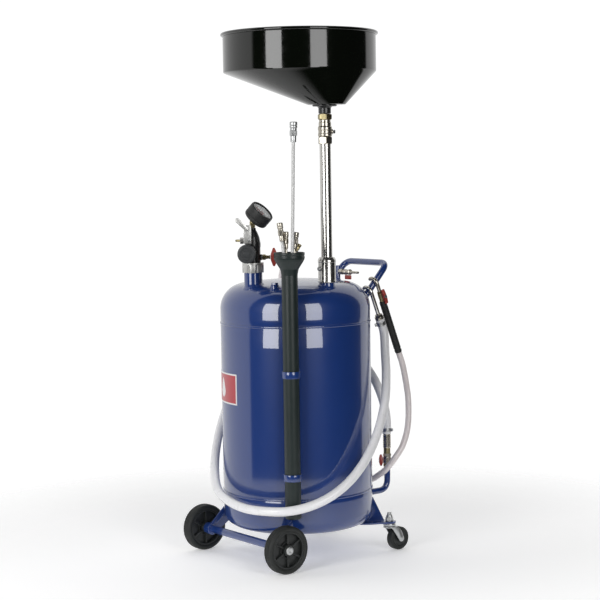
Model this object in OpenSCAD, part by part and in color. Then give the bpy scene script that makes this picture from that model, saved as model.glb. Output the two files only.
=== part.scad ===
// Mobile waste-oil drainer: a pressure tank on four wheels, with an off-centre drain bowl on a
// telescopic mast, a vacuum head with a gauge, suction probes in a holder, and two hoses.
// +X points to the rear, where the casters and the push handle are. The tank's axis is vertical.

/* [Tank] */
// Outside diameter of the tank
tank_d = 406; // [400:2:410]
// Thickness of the tank's sheet
tank_wall = 3; // [2:0.5:4]
// Height of the flat underside above the floor
tank_floor_z = 82; // [78:1:84]
// Height of the lower weld seam
low_seam_z = 178; // [174:1:184]
// Height of the upper weld seam
top_seam_z = 632; // [610:1:640]
// Height at which the shoulder starts to curve inwards
shoulder_z = 669; // [665:1:672]
// Radius of the shoulder's curve
shoulder_r = 69; // [68:1:70]
// Radius of the curve at the bottom edge
bottom_r = 38; // [34:1:42]

/* [Drain bowl] */
// Outside diameter of the bowl's wall
bowl_d = 410; // [400:2:410]
// Distance from the mast to the bowl's centre
bowl_offset = 133; // [128:1:136]
// Height of the bowl's flat bottom
bowl_bottom_z = 1208; // [1200:1:1220]
// Height of the bowl's sloping part
bowl_cone_h = 93; // [80:1:100]
// Height of the whole bowl
bowl_h = 198; // [190:1:215]

/* [Mast] */
// Distance from the tank's axis to the mast
mast_reach = 148; // [147:1:149]
// Outside diameter of the sliding tube
mast_d = 30; // [28:0.5:30.5]

/* [Wheels] */
// Diameter of the fixed wheels
wheel_d = 125; // [120:1:126]
// Width of a fixed wheel
wheel_w = 30; // [26:1:32]
// Distance between the middles of the two fixed wheels
track = 376; // [370:2:380]
// Distance from the tank's axis forward to the axle
axle_reach = 184; // [182:1:186]
// Diameter of a caster wheel
caster_d = 63; // [60:1:64]
// Distance that a caster wheel trails behind its swivel
caster_trail = 29; // [26:1:30]

/* [Push handle] */
// Diameter of the handle's tube
handle_d = 18; // [16:1:20]
// Distance from the tank's axis back to the grip bar
handle_reach = 251.5; // [248:0.5:254]
// Height of the grip bar
handle_z = 781; // [775:1:790]
// Half the distance between the handle's legs
handle_half = 91; // [88:1:92]

/* [Probe holder] */
// Outside diameter of the holder's tube
holder_d = 42; // [41:1:43]
// Diameter of the cup at its top
cup_d = 80; // [76:1:82]

/* [Hoses] */
// Outside diameter of the delivery hose
delivery_d = 24; // [22:1:24]
// Outside diameter of the suction hose
suction_d = 17; // [15:1:17]

/* [Hidden] */

$fn = 64;
rod_fn = 32;   // rods and small fittings
hex_fn = 6;    // hexagonal nuts
gap = 0.5;     // between pieces that move past each other
run = 0.06;    // radial clearance of a running fit
cut = 1;       // how far a cutting shape passes the face it cuts

tank_r = tank_d / 2;
wheel_r = wheel_d / 2;
caster_r = caster_d / 2;
handle_r = handle_d / 2;
mast_r = mast_d / 2;

// The origin is under the middle of the whole object, which isn't the tank's axis.
hub_cap_out = 4;
side_reach = track / 2 + wheel_w / 2 + hub_cap_out;
lip_r = 211;
mast_x = -5;
bowl_x = 15;
bowl_y = -mast_reach + sqrt(bowl_offset * bowl_offset - pow(bowl_x - mast_x, 2));
tank_x = -(handle_reach + handle_r - axle_reach - wheel_r) / 2;
tank_y = -(side_reach + bowl_y - lip_r) / 2;

// The pump, the valves and the hooks face this way, seen from above.
side_turn = -36;

blue = [0.10, 0.17, 0.45];
black = [0.06, 0.07, 0.07];
slate = [0.16, 0.20, 0.20];
steel = [0.78, 0.77, 0.74];
nickel = [0.70, 0.68, 0.62];
brass = [0.55, 0.50, 0.30];
red = [0.70, 0.20, 0.16];
hose_white = [0.90, 0.90, 0.92];
hose_pink = [0.88, 0.82, 0.82];

// ---- helpers ----

// Points along an arc, both ends included.
function arc(x, y, r, from, to, n) =
    [for (i = [0:n]) let (a = from + (to - from) * i / n) [x + r * cos(a), y + r * sin(a)]];

function flip(list) = [for (i = [len(list) - 1:-1:0]) list[i]];

module at_tank() {
    translate([tank_x, tank_y, 0]) children();
}

module at_mast() {
    at_tank() translate([mast_x, -mast_reach, 0]) children();
}

module tube(outer, inner, low, high) {
    translate([0, 0, low]) difference() {
        cylinder(r = outer, h = high - low);
        translate([0, 0, -cut]) cylinder(r = inner, h = high - low + 2 * cut);
    }
}

module rod(r, low, high, sides = rod_fn) {
    translate([0, 0, low]) cylinder(r = r, h = high - low, $fn = sides);
}

// A hexagon across its flats.
module hex(flats, low, high) {
    rod(flats / 2 / cos(30), low, high, hex_fn);
}

// A part of a torus, from angle 0 to sweep in the XY plane.
module bend(radius, r, sweep) {
    rotate_extrude(angle = sweep) translate([radius, 0]) circle(r = r, $fn = rod_fn);
}

module both_sides() {
    children();
    mirror([0, 1, 0]) children();
}

// ---- free hoses ----

function unit(v) = v / norm(v);

// A round section of a hose at each of the route's points, square to the route there.
function sections(route, r, sides) = [
    for (i = [0:len(route) - 1])
        let (
            before = route[max(i - 1, 0)],
            after = route[min(i + 1, len(route) - 1)],
            along = unit(after - before),
            side = unit(cross(along, abs(along[2]) > 0.9 ? [1, 0, 0] : [0, 0, 1])),
            up = cross(side, along)
        )
        for (k = [0:sides - 1])
            route[i] + r * (cos(360 * k / sides) * side + sin(360 * k / sides) * up)
];

// Points of a smooth curve through the route, with steps points to each stretch.
function spline(p, steps) = concat(
    [
        for (i = [0:len(p) - 2])
            let (
                a = p[max(i - 1, 0)],
                b = p[i],
                c = p[i + 1],
                d = p[min(i + 2, len(p) - 1)]
            )
            for (k = [0:steps - 1])
                let (t = k / steps)
                0.5 * (2 * b + (c - a) * t + (2 * a - 5 * b + 4 * c - d) * t * t
                    + (3 * b - a - 3 * c + d) * t * t * t)
    ],
    [p[len(p) - 1]]
);

module hose(route, r, sides) {
    n = len(route);
    walls = [
        for (i = [0:n - 2])
            for (k = [0:sides - 1])
                let (
                    next = (k + 1) % sides,
                    a = i * sides,
                    b = (i + 1) * sides
                )
                each [[a + k, b + k, b + next], [a + k, b + next, a + next]]
    ];
    ends = [
        [for (k = [0:sides - 1]) k],
        [for (k = [sides - 1:-1:0]) (n - 1) * sides + k]
    ];
    polyhedron(points = sections(route, r, sides), faces = concat(walls, ends));
}

// ---- tank ----

crown_angle = 8;
crown_r = (tank_r - shoulder_r + shoulder_r * sin(crown_angle)) / sin(crown_angle);
crown_z = shoulder_z + shoulder_r * cos(crown_angle) - crown_r * cos(crown_angle);
shoulder_steps = 12;
crown_steps = 6;

// The top head's outline, moved in by depth.
function top_outline(depth) = concat(
    [[tank_r - depth, top_seam_z]],
    arc(tank_r - shoulder_r, shoulder_z, shoulder_r - depth, 0, 90 - crown_angle, shoulder_steps),
    [for (i = [1:crown_steps]) let (a = 90 - crown_angle * (1 - i / crown_steps))
        [i == crown_steps ? 0 : (crown_r - depth) * cos(a), crown_z + (crown_r - depth) * sin(a)]]
);

function bottom_outline(depth) = concat(
    [[0, tank_floor_z + depth]],
    arc(tank_r - bottom_r, tank_floor_z + bottom_r, bottom_r - depth, -90, 0, shoulder_steps),
    [[tank_r - depth, low_seam_z]]
);

neck_r = 24.25;
mast_boss_r = 19.5;
riser_r = 6.5;
small_boss_r = 11;
pump_x = -145;
pump_y = -10;
riser_x = 150;
elbow_x = 74;
elbow_y = 135;
plug_x = -133;
plug_y = -89;
boss_low_z = 722;
outlet_r = 8.5;
outlet_z = 152;
outlet_y = -handle_half;

module tank_barrel() {
    color(blue) at_tank() tube(tank_r, tank_r - tank_wall, low_seam_z, top_seam_z);
}

module tank_top_head() {
    color(blue) at_tank() difference() {
        rotate_extrude() polygon(concat(top_outline(0), flip(top_outline(tank_wall))));
        translate([mast_x, -mast_reach, 0]) rod(mast_boss_r, boss_low_z - cut, handle_z, 64);
        translate([pump_x, pump_y, 0]) rod(neck_r, boss_low_z - cut, handle_z, 64);
        translate([riser_x, 0, 0]) rod(riser_r, boss_low_z - cut, handle_z);
        translate([elbow_x, elbow_y, 0]) rod(small_boss_r, boss_low_z - cut, handle_z);
        translate([plug_x, plug_y, 0]) rod(small_boss_r, boss_low_z - cut, handle_z);
        both_sides() at_handle_leg() rod(handle_r, -30, 60);
    }
}

module tank_bottom_head() {
    color(blue) at_tank() difference() {
        rotate_extrude() polygon(concat(bottom_outline(0), flip(bottom_outline(tank_wall))));
        translate([0, outlet_y, outlet_z]) rotate([0, 90, 0]) rod(outlet_r, tank_r / 2, tank_r + cut);
    }
}

riser_top_z = 776;
inlet_z = 759;
inlet_start = 9;
neck_top_z = 771;
boss_top_z = 743;
mast_bore_r = mast_r + gap + 0.1;

// The short tubes that are welded through the top head.
module tank_bosses() {
    color(blue) at_tank() {
        translate([mast_x, -mast_reach, 0]) tube(mast_boss_r, mast_bore_r, boss_low_z, boss_top_z);
        translate([pump_x, pump_y, 0]) tube(neck_r, 20, boss_low_z, neck_top_z);
        translate([riser_x, 0, 0]) rod(riser_r, boss_low_z, riser_top_z);
        translate([riser_x, -3, inlet_z]) rotate([90, 0, 0]) rod(5.5, 0, inlet_start - 3);
        translate([elbow_x, elbow_y, 0]) tube(small_boss_r, 6, boss_low_z, 747);
        translate([plug_x, plug_y, 0]) tube(small_boss_r, 6, boss_low_z, 740);
    }
}

module filler_plug() {
    color(blue) at_tank() translate([plug_x, plug_y, 0]) {
        rod(6, 728, 740);
        hex(17, 740, 747);
    }
}

outlet_x = 242;
outlet_bend = 34;
outlet_top_z = 216;

module outlet_pipe() {
    color(blue) at_tank() translate([outlet_x - outlet_bend, outlet_y, outlet_z]) {
        rotate([0, 90, 0]) rod(outlet_r, -outlet_bend - 4, 0);
        translate([0, 0, outlet_bend]) rotate([90, 0, 0]) rotate([0, 0, -90]) bend(outlet_bend, outlet_r, 90);
        translate([outlet_bend, 0, 0]) rod(outlet_r, outlet_bend, outlet_top_z - outlet_z);
    }
}

// ---- push handle ----

leg_foot_x = 172;
leg_foot_z = 694;
leg_run = handle_reach - leg_foot_x;
leg_rise = handle_z - leg_foot_z;
leg_len = norm([leg_run, leg_rise]);
leg_angle = atan2(leg_run, leg_rise);
grip_bend = 24;

// The foot of the handle's leg on the +Y side, with +Z along the leg.
module at_handle_leg() {
    translate([leg_foot_x, handle_half, leg_foot_z]) rotate([0, leg_angle, 0]) children();
}

module push_handle() {
    straight = handle_half - grip_bend;
    color(blue) at_tank() translate([leg_foot_x, 0, leg_foot_z]) rotate([0, leg_angle, 0]) {
        translate([0, handle_half, 0]) rod(handle_r, -6, leg_len - grip_bend);
        translate([0, -handle_half, 0]) rod(handle_r, -6, leg_len - grip_bend);
        translate([0, straight, leg_len - grip_bend]) rotate([90, 0, 90]) bend(grip_bend, handle_r, 90);
        translate([0, -straight, leg_len - grip_bend]) rotate([90, 0, 90]) rotate([0, 0, 90])
            bend(grip_bend, handle_r, 90);
        translate([0, 0, leg_len]) rotate([90, 0, 0]) rod(handle_r, -straight, straight);
    }
}

// ---- brackets on the tank ----

hook_angle = 40;
hook_z = 505;
hook_w = 24;
hook_in = 3;

// A bent strip behind the tank, which carries the delivery hose.
module rear_hose_hook() {
    reach = delivery_d + 14;
    color(blue) at_tank() rotate([0, 0, hook_angle]) difference() {
        translate([0, hook_w / 2, hook_z]) rotate([90, 0, 0]) linear_extrude(hook_w) polygon([
            [tank_r - 2, -hook_in], [tank_r + reach, -hook_in], [tank_r + reach, 22],
            [tank_r + reach - 3, 22], [tank_r + reach - 3, 0], [tank_r - 2, 0]
        ]);
        rod(tank_r, low_seam_z, top_seam_z, 96);
    }
}

holder_r = holder_d / 2;
holder_x = -148;
holder_y = -174;
holder_wall = 2.5;
holder_low_z = 137;
cup_low_z = 774;
cup_high_z = 829;
strap_h = 18;
strap_t = 3;
strap_foot_w = 38;
strap_turn = atan2(-holder_y, -holder_x);

module at_holder() {
    at_tank() translate([holder_x, holder_y, 0]) children();
}

// Two bands around the probe holder, each with a foot on the tank.
module holder_straps() {
    color(blue) for (z = [236, 504]) at_holder() rotate([0, 0, strap_turn]) difference() {
        union() {
            rod(holder_r + strap_t, z, z + strap_h, 64);
            translate([0, -strap_foot_w / 2, z]) cube([holder_r + 12, strap_foot_w, strap_h]);
        }
        rod(holder_r, low_seam_z, top_seam_z, 64);
        translate([norm([holder_x, holder_y]), 0, 0]) rod(tank_r, low_seam_z, top_seam_z, 96);
    }
}

// A closed-bottomed tube that flares into a cup.
module probe_holder() {
    cup_r = cup_d / 2;
    color(slate) at_holder() rotate_extrude() polygon([
        [0, holder_low_z], [holder_r, holder_low_z], [holder_r, cup_low_z],
        [holder_r + 3, cup_low_z + 12], [cup_r - 4, cup_high_z - 24], [cup_r, cup_high_z - 14],
        [cup_r, cup_high_z], [cup_r - holder_wall, cup_high_z], [cup_r - holder_wall, cup_high_z - 13],
        [cup_r - 6, cup_high_z - 22], [holder_r + 1, cup_low_z + 14], [holder_r - holder_wall, cup_low_z + 2],
        [holder_r - holder_wall, holder_low_z + 4], [0, holder_low_z + 4]
    ]);
}

panel_from = 137;
panel_sweep = 45;
panel_low_z = 421;
panel_h = 82;
panel_t = 0.8;

// A plain curved panel with no lettering.
module name_panel() {
    color(red) at_tank() translate([0, 0, panel_low_z]) rotate([0, 0, panel_from])
        rotate_extrude(angle = panel_sweep) translate([tank_r, 0]) square([panel_t, panel_h]);
}

// ---- fixed wheels ----

axle_r = 8;
axle_z = wheel_r;
carrier_tube_r = 10.5;
collar_r = 16;
plate_y = 150;
plate_t = 4;
tyre_in_r = 49;
wheel_hub_r = 15;
hub_half = wheel_w / 2;
spokes = 6;
inner_face = track / 2 - wheel_w / 2;

module at_axle() {
    at_tank() translate([-axle_reach, 0, axle_z]) rotate([90, 0, 0]) children();
}

// The axle's tube and the two plates that weld it to the tank.
module axle_carrier() {
    color(blue) difference() {
        union() {
            at_axle() rod(carrier_tube_r, -inner_face + 2, inner_face - 2);
            both_sides_axle() rod(collar_r, inner_face - 27, inner_face - 3);
            at_tank() both_sides() translate([0, plate_y + plate_t / 2, 0]) rotate([90, 0, 0])
                linear_extrude(plate_t) polygon(concat(
                    arc(-axle_reach, axle_z, 15, 120, 300, 10),
                    [[-120, 84], [-120, 142]]
                ));
        }
        at_axle() rod(axle_r, -inner_face, inner_face);
        at_tank() rod(tank_r, low_seam_z - 60, low_seam_z + cut, 96);
        at_tank() translate([0, 0, tank_floor_z + bottom_r]) mirror([0, 0, 1])
            rod(tank_r, 0, bottom_r + cut, 96);
    }
}

module axle() {
    color(steel) at_axle() rod(axle_r, -side_reach + hub_cap_out + 1, side_reach - hub_cap_out - 1);
}

// Push-on caps that keep the wheels on the axle.
module hub_caps() {
    color(steel) both_sides_axle() difference() {
        rotate_extrude() polygon(concat(
            [[0, side_reach], [8, side_reach]],
            arc(8.5, side_reach - 2.5, 2.5, 90, 0, 4),
            [[11, side_reach - hub_cap_out + gap], [0, side_reach - hub_cap_out + gap]]
        ));
        rod(axle_r, 0, side_reach - hub_cap_out - 1);
    }
}

module both_sides_axle() {
    at_axle() {
        children();
        mirror([0, 0, 1]) children();
    }
}

// A tyre on the axle's -Y side.
module tyre_shape() {
    at_axle() translate([0, 0, track / 2]) rotate_extrude() polygon(concat(
        [[tyre_in_r, -hub_half + 3], [tyre_in_r + 4, -hub_half]],
        arc(wheel_r - 7, -hub_half + 7, 7, -90, 0, 6),
        arc(wheel_r - 7, hub_half - 7, 7, 0, 90, 6),
        [[tyre_in_r + 4, hub_half], [tyre_in_r, hub_half - 3]]
    ));
}

module rim_shape() {
    at_axle() translate([0, 0, track / 2]) difference() {
        union() {
            tube(tyre_in_r, tyre_in_r - 4, -hub_half + 3, hub_half - 3);
            rod(wheel_hub_r, -hub_half, hub_half, 64);
            rod(tyre_in_r - 2, -2, 2, 64);
            for (k = [0:spokes - 1]) rotate([0, 0, k * 360 / spokes + 30])
                translate([wheel_hub_r - 2, -2.5, -9]) cube([tyre_in_r - wheel_hub_r - 1, 5, 18]);
        }
        rod(axle_r + run, -hub_half - cut, hub_half + cut, 64);
    }
}

module on_right() {
    at_tank() mirror([0, 1, 0]) translate([-tank_x, -tank_y, 0]) children();
}

module tyre_left() {
    color(black) tyre_shape();
}

module rim_left() {
    color(black) rim_shape();
}

module tyre_right() {
    color(black) on_right() tyre_shape();
}

module rim_right() {
    color(black) on_right() rim_shape();
}

// ---- casters ----

caster_x = 187;
caster_y = 163;
caster_out = norm([caster_x, caster_y]);
caster_turn = atan2(caster_y, caster_x);
bracket_low_z = tank_floor_z - 4;
gusset_top_z = 148;
stem_r = 6;
race_r = 17;
race_low_z = 68;
fork_top_z = race_low_z - gap;
caster_w = 22;
fork_half = 15;
fork_t = 2.5;

// The places of the two casters, on both sides.
module at_casters() {
    at_tank() both_sides() rotate([0, 0, caster_turn]) children();
}

// A plate under the tank with an upright gusset, one at each rear corner.
module caster_brackets() {
    color(blue) difference() {
        at_casters() {
            translate([0, 0, bracket_low_z]) linear_extrude(4) polygon(concat(
                [[150, -34], [195, -34]],
                arc(caster_out, 0, 18, -60, 60, 8),
                [[195, 34], [150, 34]]
            ));
            translate([0, 2, 0]) rotate([90, 0, 0]) linear_extrude(4)
                polygon([[170, tank_floor_z], [caster_out - 13, tank_floor_z], [tank_r + 1, gusset_top_z],
                    [tank_r - 8, gusset_top_z], [tank_r - 8, 120]]);
        }
        at_casters() translate([caster_out, 0, 0]) rod(stem_r, 0, low_seam_z);
        at_tank() rotate_extrude() polygon(concat(bottom_outline(0), [[0, low_seam_z]]));
    }
}

// Stem bolts, each with its nut above the plate and its race below.
module caster_stems() {
    color(steel) at_casters() translate([caster_out, 0, 0]) {
        rod(stem_r, race_low_z - 5, 106);
        hex(19, tank_floor_z, tank_floor_z + 11);
        rod(9, tank_floor_z + 11, tank_floor_z + 14);
        rotate_extrude() polygon([
            [0, race_low_z], [race_r - 2, race_low_z], [race_r, race_low_z + 3],
            [race_r, bracket_low_z - 2], [race_r - 3, bracket_low_z], [0, bracket_low_z]
        ]);
    }
}

// A sheet fork around the wheel, with the wheel's rivet through both cheeks.
module caster_fork_shape() {
    at_tank() translate([caster_x, -caster_y, 0]) {
        difference() {
            union() {
                rod(race_r, fork_top_z - 3, fork_top_z, 64);
                translate([-4, -fork_half - fork_t, fork_top_z - 3]) cube([22, 2 * (fork_half + fork_t), 3]);
                both_sides() translate([0, fork_half + fork_t, 0]) rotate([90, 0, 0]) linear_extrude(fork_t)
                    polygon(concat(
                        [[-4, fork_top_z - 3], [-4, fork_top_z]],
                        [[18, fork_top_z], [30, 52]],
                        arc(caster_trail, caster_r, 8, 20, -150, 8)
                    ));
            }
            rod(stem_r + run, 50, fork_top_z + cut, 64);
        }
        translate([caster_trail, 0, caster_r]) rotate([90, 0, 0]) {
            rod(3, -fork_half - fork_t - 2, fork_half + fork_t + 2);
            both_ends() rod(5, fork_half + fork_t, fork_half + fork_t + 2);
        }
    }
}

module both_ends() {
    children();
    mirror([0, 0, 1]) children();
}

module caster_wheel_shape() {
    at_tank() translate([caster_x + caster_trail, -caster_y, caster_r]) rotate([90, 0, 0])
        rotate_extrude() polygon(concat(
            [[3 + run, -12.5], [9, -12.5], [9, -8], [19, -8], [21, -caster_w / 2]],
            arc(caster_r - 4, -caster_w / 2 + 4, 4, -90, 0, 5),
            arc(caster_r - 4, caster_w / 2 - 4, 4, 0, 90, 5),
            [[21, caster_w / 2], [19, 8], [9, 8], [9, 12.5], [3 + run, 12.5]]
        ));
}

module caster_fork_left() {
    color(steel) caster_fork_shape();
}

module caster_fork_right() {
    color(steel) on_right() caster_fork_shape();
}

module caster_wheel_left() {
    color(black) caster_wheel_shape();
}

module caster_wheel_right() {
    color(black) on_right() caster_wheel_shape();
}

// ---- mast ----

sleeve_top_z = 810;
seal_low_z = 798;
seal_high_z = 806;
seal_r = 18;
screw_z = 780;
screw_r = 3;
mast_low_z = 640;
valve_low_z = 1106;
mast_top_z = valve_low_z + 12;
ball_z = 1138;
ball_r = 12;
flow_r = 8;
nut_low_z = 1169;
spout_r = 16.5;
spout_low_z = bowl_bottom_z - 23;
stub_r = 13;

// An eight-sided sleeve with a groove for the seal and a thread for the lock screw.
module mast_sleeve() {
    color(steel) at_mast() difference() {
        intersection() {
            rotate([0, 0, 22.5]) rod(23 / cos(22.5), boss_top_z, sleeve_top_z, 8);
            rotate_extrude() polygon([
                [0, boss_top_z], [26, boss_top_z], [26, sleeve_top_z - 8], [20, sleeve_top_z], [0, sleeve_top_z]
            ]);
        }
        rod(mast_bore_r, boss_top_z - cut, sleeve_top_z + cut, 64);
        rod(seal_r, seal_low_z, seal_high_z, 64);
        translate([0, 0, screw_z]) rotate([0, -90, 0]) rod(screw_r + run, 10, 30);
    }
}

module mast_seal() {
    color(black) at_mast() tube(seal_r, mast_r + run, seal_low_z, seal_high_z);
}

module mast_lock_screw() {
    color(steel) at_mast() translate([0, 0, screw_z]) rotate([0, -90, 0]) {
        rod(screw_r, mast_r + gap, 25);
        hex(10, 23 + gap, 29);
    }
}

// The pipe inside the tank that the mast slides down into.
module mast_guide() {
    color(steel) at_mast() tube(mast_boss_r - 1, mast_bore_r, 370, boss_low_z);
}

module mast_tube() {
    color(steel) at_mast() tube(mast_r, mast_r - 2.5, mast_low_z, mast_top_z);
}

// The drain valve at the mast's head, with its lower hexagon and its upper collar.
module bowl_valve() {
    color(nickel) at_mast() difference() {
        union() {
            hex(34, valve_low_z, 1125);
            rod(18.5, 1125, 1152, 64);
            rod(16.5, 1152, nut_low_z, 64);
        }
        rod(mast_r, valve_low_z - cut, mast_top_z, 64);
        rod(9, mast_top_z - cut, nut_low_z + cut, 64);
        translate([0, 0, ball_z]) sphere(r = ball_r + 0.4);
        translate([0, 0, ball_z]) rotate([0, 90, side_turn]) rod(3 + run, 5, 25);
    }
}

// The ball, its stem and the short black lever outside, which points away from the stem.
module bowl_valve_lever() {
    color(black) at_mast() translate([0, 0, ball_z]) rotate([0, 0, side_turn]) {
        difference() {
            union() {
                sphere(r = ball_r);
                rotate([0, 90, 0]) rod(3, 5, 26);
            }
            rotate([90, 0, 0]) rod(flow_r, -20, 20);
        }
        translate([23, -6, -4.5]) cube([4, 46, 9]);
    }
}

module swivel_nut() {
    color(brass) at_mast() difference() {
        hex(33, nut_low_z, spout_low_z - gap);
        rod(stub_r + run, nut_low_z - cut, spout_low_z, 64);
    }
}

// The black spout under the bowl, which turns in the nut.
module bowl_spout() {
    color(black) at_mast() difference() {
        union() {
            rod(stub_r, nut_low_z + 3, spout_low_z, 64);
            rod(spout_r, spout_low_z, bowl_bottom_z - 4, 64);
            rod(32, bowl_bottom_z - 4, bowl_bottom_z, 64);
        }
        rod(9.5, nut_low_z, bowl_bottom_z + cut, 64);
    }
}

bowl_t = 2;
bowl_r = bowl_d / 2;
bowl_foot_r = 48.5;
bowl_foot_x = 0;
bowl_foot_y = -151;
roll_r = 4.5;
roll_z = bowl_bottom_z + bowl_h - roll_r;
cone_top_z = bowl_bottom_z + bowl_cone_h;
bowl_fn = 96;
strainer_r = 40;

module disc(x, y, z, r) {
    translate([x, y, z]) cylinder(r = r, h = 0.01, $fn = bowl_fn);
}

// An off-centre cone with a straight wall and a rolled lip.
module bowl() {
    color(black) at_tank() difference() {
        union() {
            hull() {
                disc(bowl_foot_x, bowl_foot_y, bowl_bottom_z, bowl_foot_r);
                disc(bowl_x, bowl_y, cone_top_z + 1, bowl_r - 0.4);
            }
            translate([bowl_x, bowl_y, 0]) rod(bowl_r, cone_top_z, roll_z, bowl_fn);
            translate([bowl_x, bowl_y, roll_z]) rotate_extrude($fn = bowl_fn)
                translate([lip_r - roll_r, 0]) circle(r = roll_r, $fn = 24);
        }
        hull() {
            disc(bowl_foot_x, bowl_foot_y, bowl_bottom_z + bowl_t, bowl_foot_r - bowl_t);
            disc(bowl_x, bowl_y, cone_top_z + bowl_t, bowl_r - bowl_t - 0.4);
        }
        translate([bowl_x, bowl_y, 0])
            rod(bowl_r - bowl_t, cone_top_z + bowl_t, roll_z + roll_r + cut, bowl_fn);
        translate([mast_x, -mast_reach, 0]) rod(9.5, bowl_bottom_z - cut, bowl_bottom_z + bowl_t + cut);
    }
}

// A perforated disc over the drain hole.
module bowl_strainer() {
    low = bowl_bottom_z + bowl_t;
    color(steel) at_mast() {
        tube(strainer_r, strainer_r - 3, low, low + 6);
        difference() {
            rod(strainer_r, low + 6, low + 7.5, 64);
            for (row = [[6, 13], [12, 23], [18, 33]])
                for (k = [1:row[0]]) rotate([0, 0, k * 360 / row[0]]) translate([row[1], 0, 0])
                    rod(3, low, low + 10, 16);
        }
    }
}

// ---- vacuum head ----

// The pump's axis, with +X to its right-hand side and -Y to its front.
module at_pump() {
    at_tank() translate([pump_x, pump_y, 0]) rotate([0, 0, side_turn]) children();
}

ring_top_z = 797;
silencer_z = 822;
silencer_x = -16;
front_y = -24;
block_y = -26;
lever_z = 888;
vacuum_z = 811;
nipple_z = 857;

// The slotted union ring that clamps the head on the neck.
module union_ring() {
    color(steel) at_pump() difference() {
        tube(28.5, 17, neck_top_z, ring_top_z);
        for (k = [0:7]) rotate([0, 0, k * 45 + 20]) translate([30.5, 0, 0])
            rod(4.5, neck_top_z - cut, ring_top_z - 6);
    }
}

// The venturi body, with its ports for the silencer, the air valve and the vacuum valve.
module pump_body() {
    color(black) at_pump() {
        rotate_extrude() polygon([
            [0, ring_top_z], [19, ring_top_z], [21, ring_top_z + 3], [21, 848], [18, 864], [9, 889], [0, 889]
        ]);
        translate([-13, 0, silencer_z]) rotate([90, 0, 0]) rod(10, 0, -front_y);
        translate([-14, block_y, 856]) cube([8, 20, 16]);
        translate([0, 0, vacuum_z]) rotate([0, 90, 0]) rod(8, 0, 24);
    }
}

module silencer() {
    color(slate) at_pump() translate([silencer_x, front_y, silencer_z]) rotate([90, 0, 0])
        rotate_extrude() polygon([
            [0, 0], [22, 0], [24.5, 3], [24.5, 34], [23, 37], [19, 38], [0, 38]
        ]);
}

// The air valve's block, with its collar and hose nipple on the left.
module pump_air_valve() {
    color(steel) at_pump() difference() {
        union() {
            translate([-24, block_y - 18, 849]) cube([21, 18, 48]);
            translate([-24, block_y - 9, nipple_z]) rotate([0, -90, 0]) {
                rod(8, 0, 9);
                rod(3.5, 9, 21);
            }
        }
        translate([-16, block_y, lever_z]) rotate([90, 0, 0]) rod(3 + run, 2, 20);
    }
}

// A thin lever on the air valve's front, which points up and to the left.
module pump_lever() {
    color(steel) at_pump() translate([-16, 0, lever_z]) rotate([90, 0, 0]) {
        rod(3, -block_y + 4, -block_y + 24);
        rotate([0, 0, 135]) translate([0, 0, -block_y + 18.5]) linear_extrude(3.5) difference() {
            polygon(concat(arc(0, 0, 5.5, 90, 270, 8), arc(32, 0, 6.5, -80, 80, 8)));
            translate([30, 0]) circle(r = 3, $fn = 20);
        }
    }
}

module vacuum_valve() {
    color(brass) at_pump() translate([0, 0, vacuum_z]) rotate([0, 90, 0]) difference() {
        union() {
            hex(13, 24, 34);
            rod(5, 34, 46);
        }
        rod(3 + run, 36, 47);
    }
}

// A two-winged handle on the end of a small valve's stem. Its stem is along +Z.
module wing_handle(half_len, hub_half_w, tip_half_w, depth, t) {
    translate([0, -t / 2, 0]) rotate([90, 0, 0]) mirror([0, 0, 1]) linear_extrude(t) polygon([
        [-7, 0], [7, 0], [half_len, depth / 2 - tip_half_w], [half_len, depth / 2 + tip_half_w],
        [hub_half_w, depth], [-hub_half_w, depth],
        [-half_len, depth / 2 + tip_half_w], [-half_len, depth / 2 - tip_half_w]
    ]);
}

module vacuum_valve_handle() {
    color(red) at_pump() translate([0, 0, vacuum_z]) rotate([0, 90, 0]) {
        rod(3, 37, 50);
        translate([0, 0, 46 + gap]) wing_handle(24.5, 8, 2.5, 18, 11);
    }
}

gauge_base_z = 903;
gauge_tilt = 45;
gauge_turn = -28;
gauge_r = 34;
boot_low = 10;
boot_high = 46;
dial_low = 37;

// The gauge's axis, with +Z out of its face.
module at_gauge() {
    at_pump() translate([0, 0, gauge_base_z]) rotate([0, gauge_tilt, gauge_turn]) children();
}

// A rubber-covered case on a short elbow.
module gauge_case() {
    color(black) {
        at_pump() rod(6.5, 889, gauge_base_z);
        at_pump() translate([0, 0, gauge_base_z]) sphere(r = 7.5, $fn = rod_fn);
        at_gauge() {
            rod(5.5, 0, boot_low + cut);
            difference() {
                rod(gauge_r, boot_low, boot_high, 64);
                rod(30, dial_low, boot_high - 2, 64);
                rod(28.8, boot_high - 3, boot_high + cut, 64);
            }
        }
    }
}

module gauge_dial() {
    color("white") at_gauge() difference() {
        rod(30, dial_low, dial_low + 2, 64);
        rod(1.5 + run, dial_low - cut, dial_low + 2 + cut);
    }
}

module gauge_pointer() {
    color(red) at_gauge() {
        rod(1.5, dial_low + 0.3, dial_low + 4);
        rod(3.5, dial_low + 2 + gap, dial_low + 4);
        translate([0, 0, dial_low + 2 + gap]) rotate([0, 0, 200]) linear_extrude(1)
            polygon([[-7, -1.6], [22, -0.5], [22, 0.5], [-7, 1.6]]);
    }
}

module gauge_lens() {
    color([0.9, 0.95, 1, 0.4]) at_gauge() rod(30, boot_high - 4, boot_high - 2, 64);
}

// ---- small fittings ----

inlet_valve_y = 44;

module at_inlet() {
    at_tank() translate([riser_x, 0, inlet_z]) rotate([90, 0, 0]) children();
}

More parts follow.
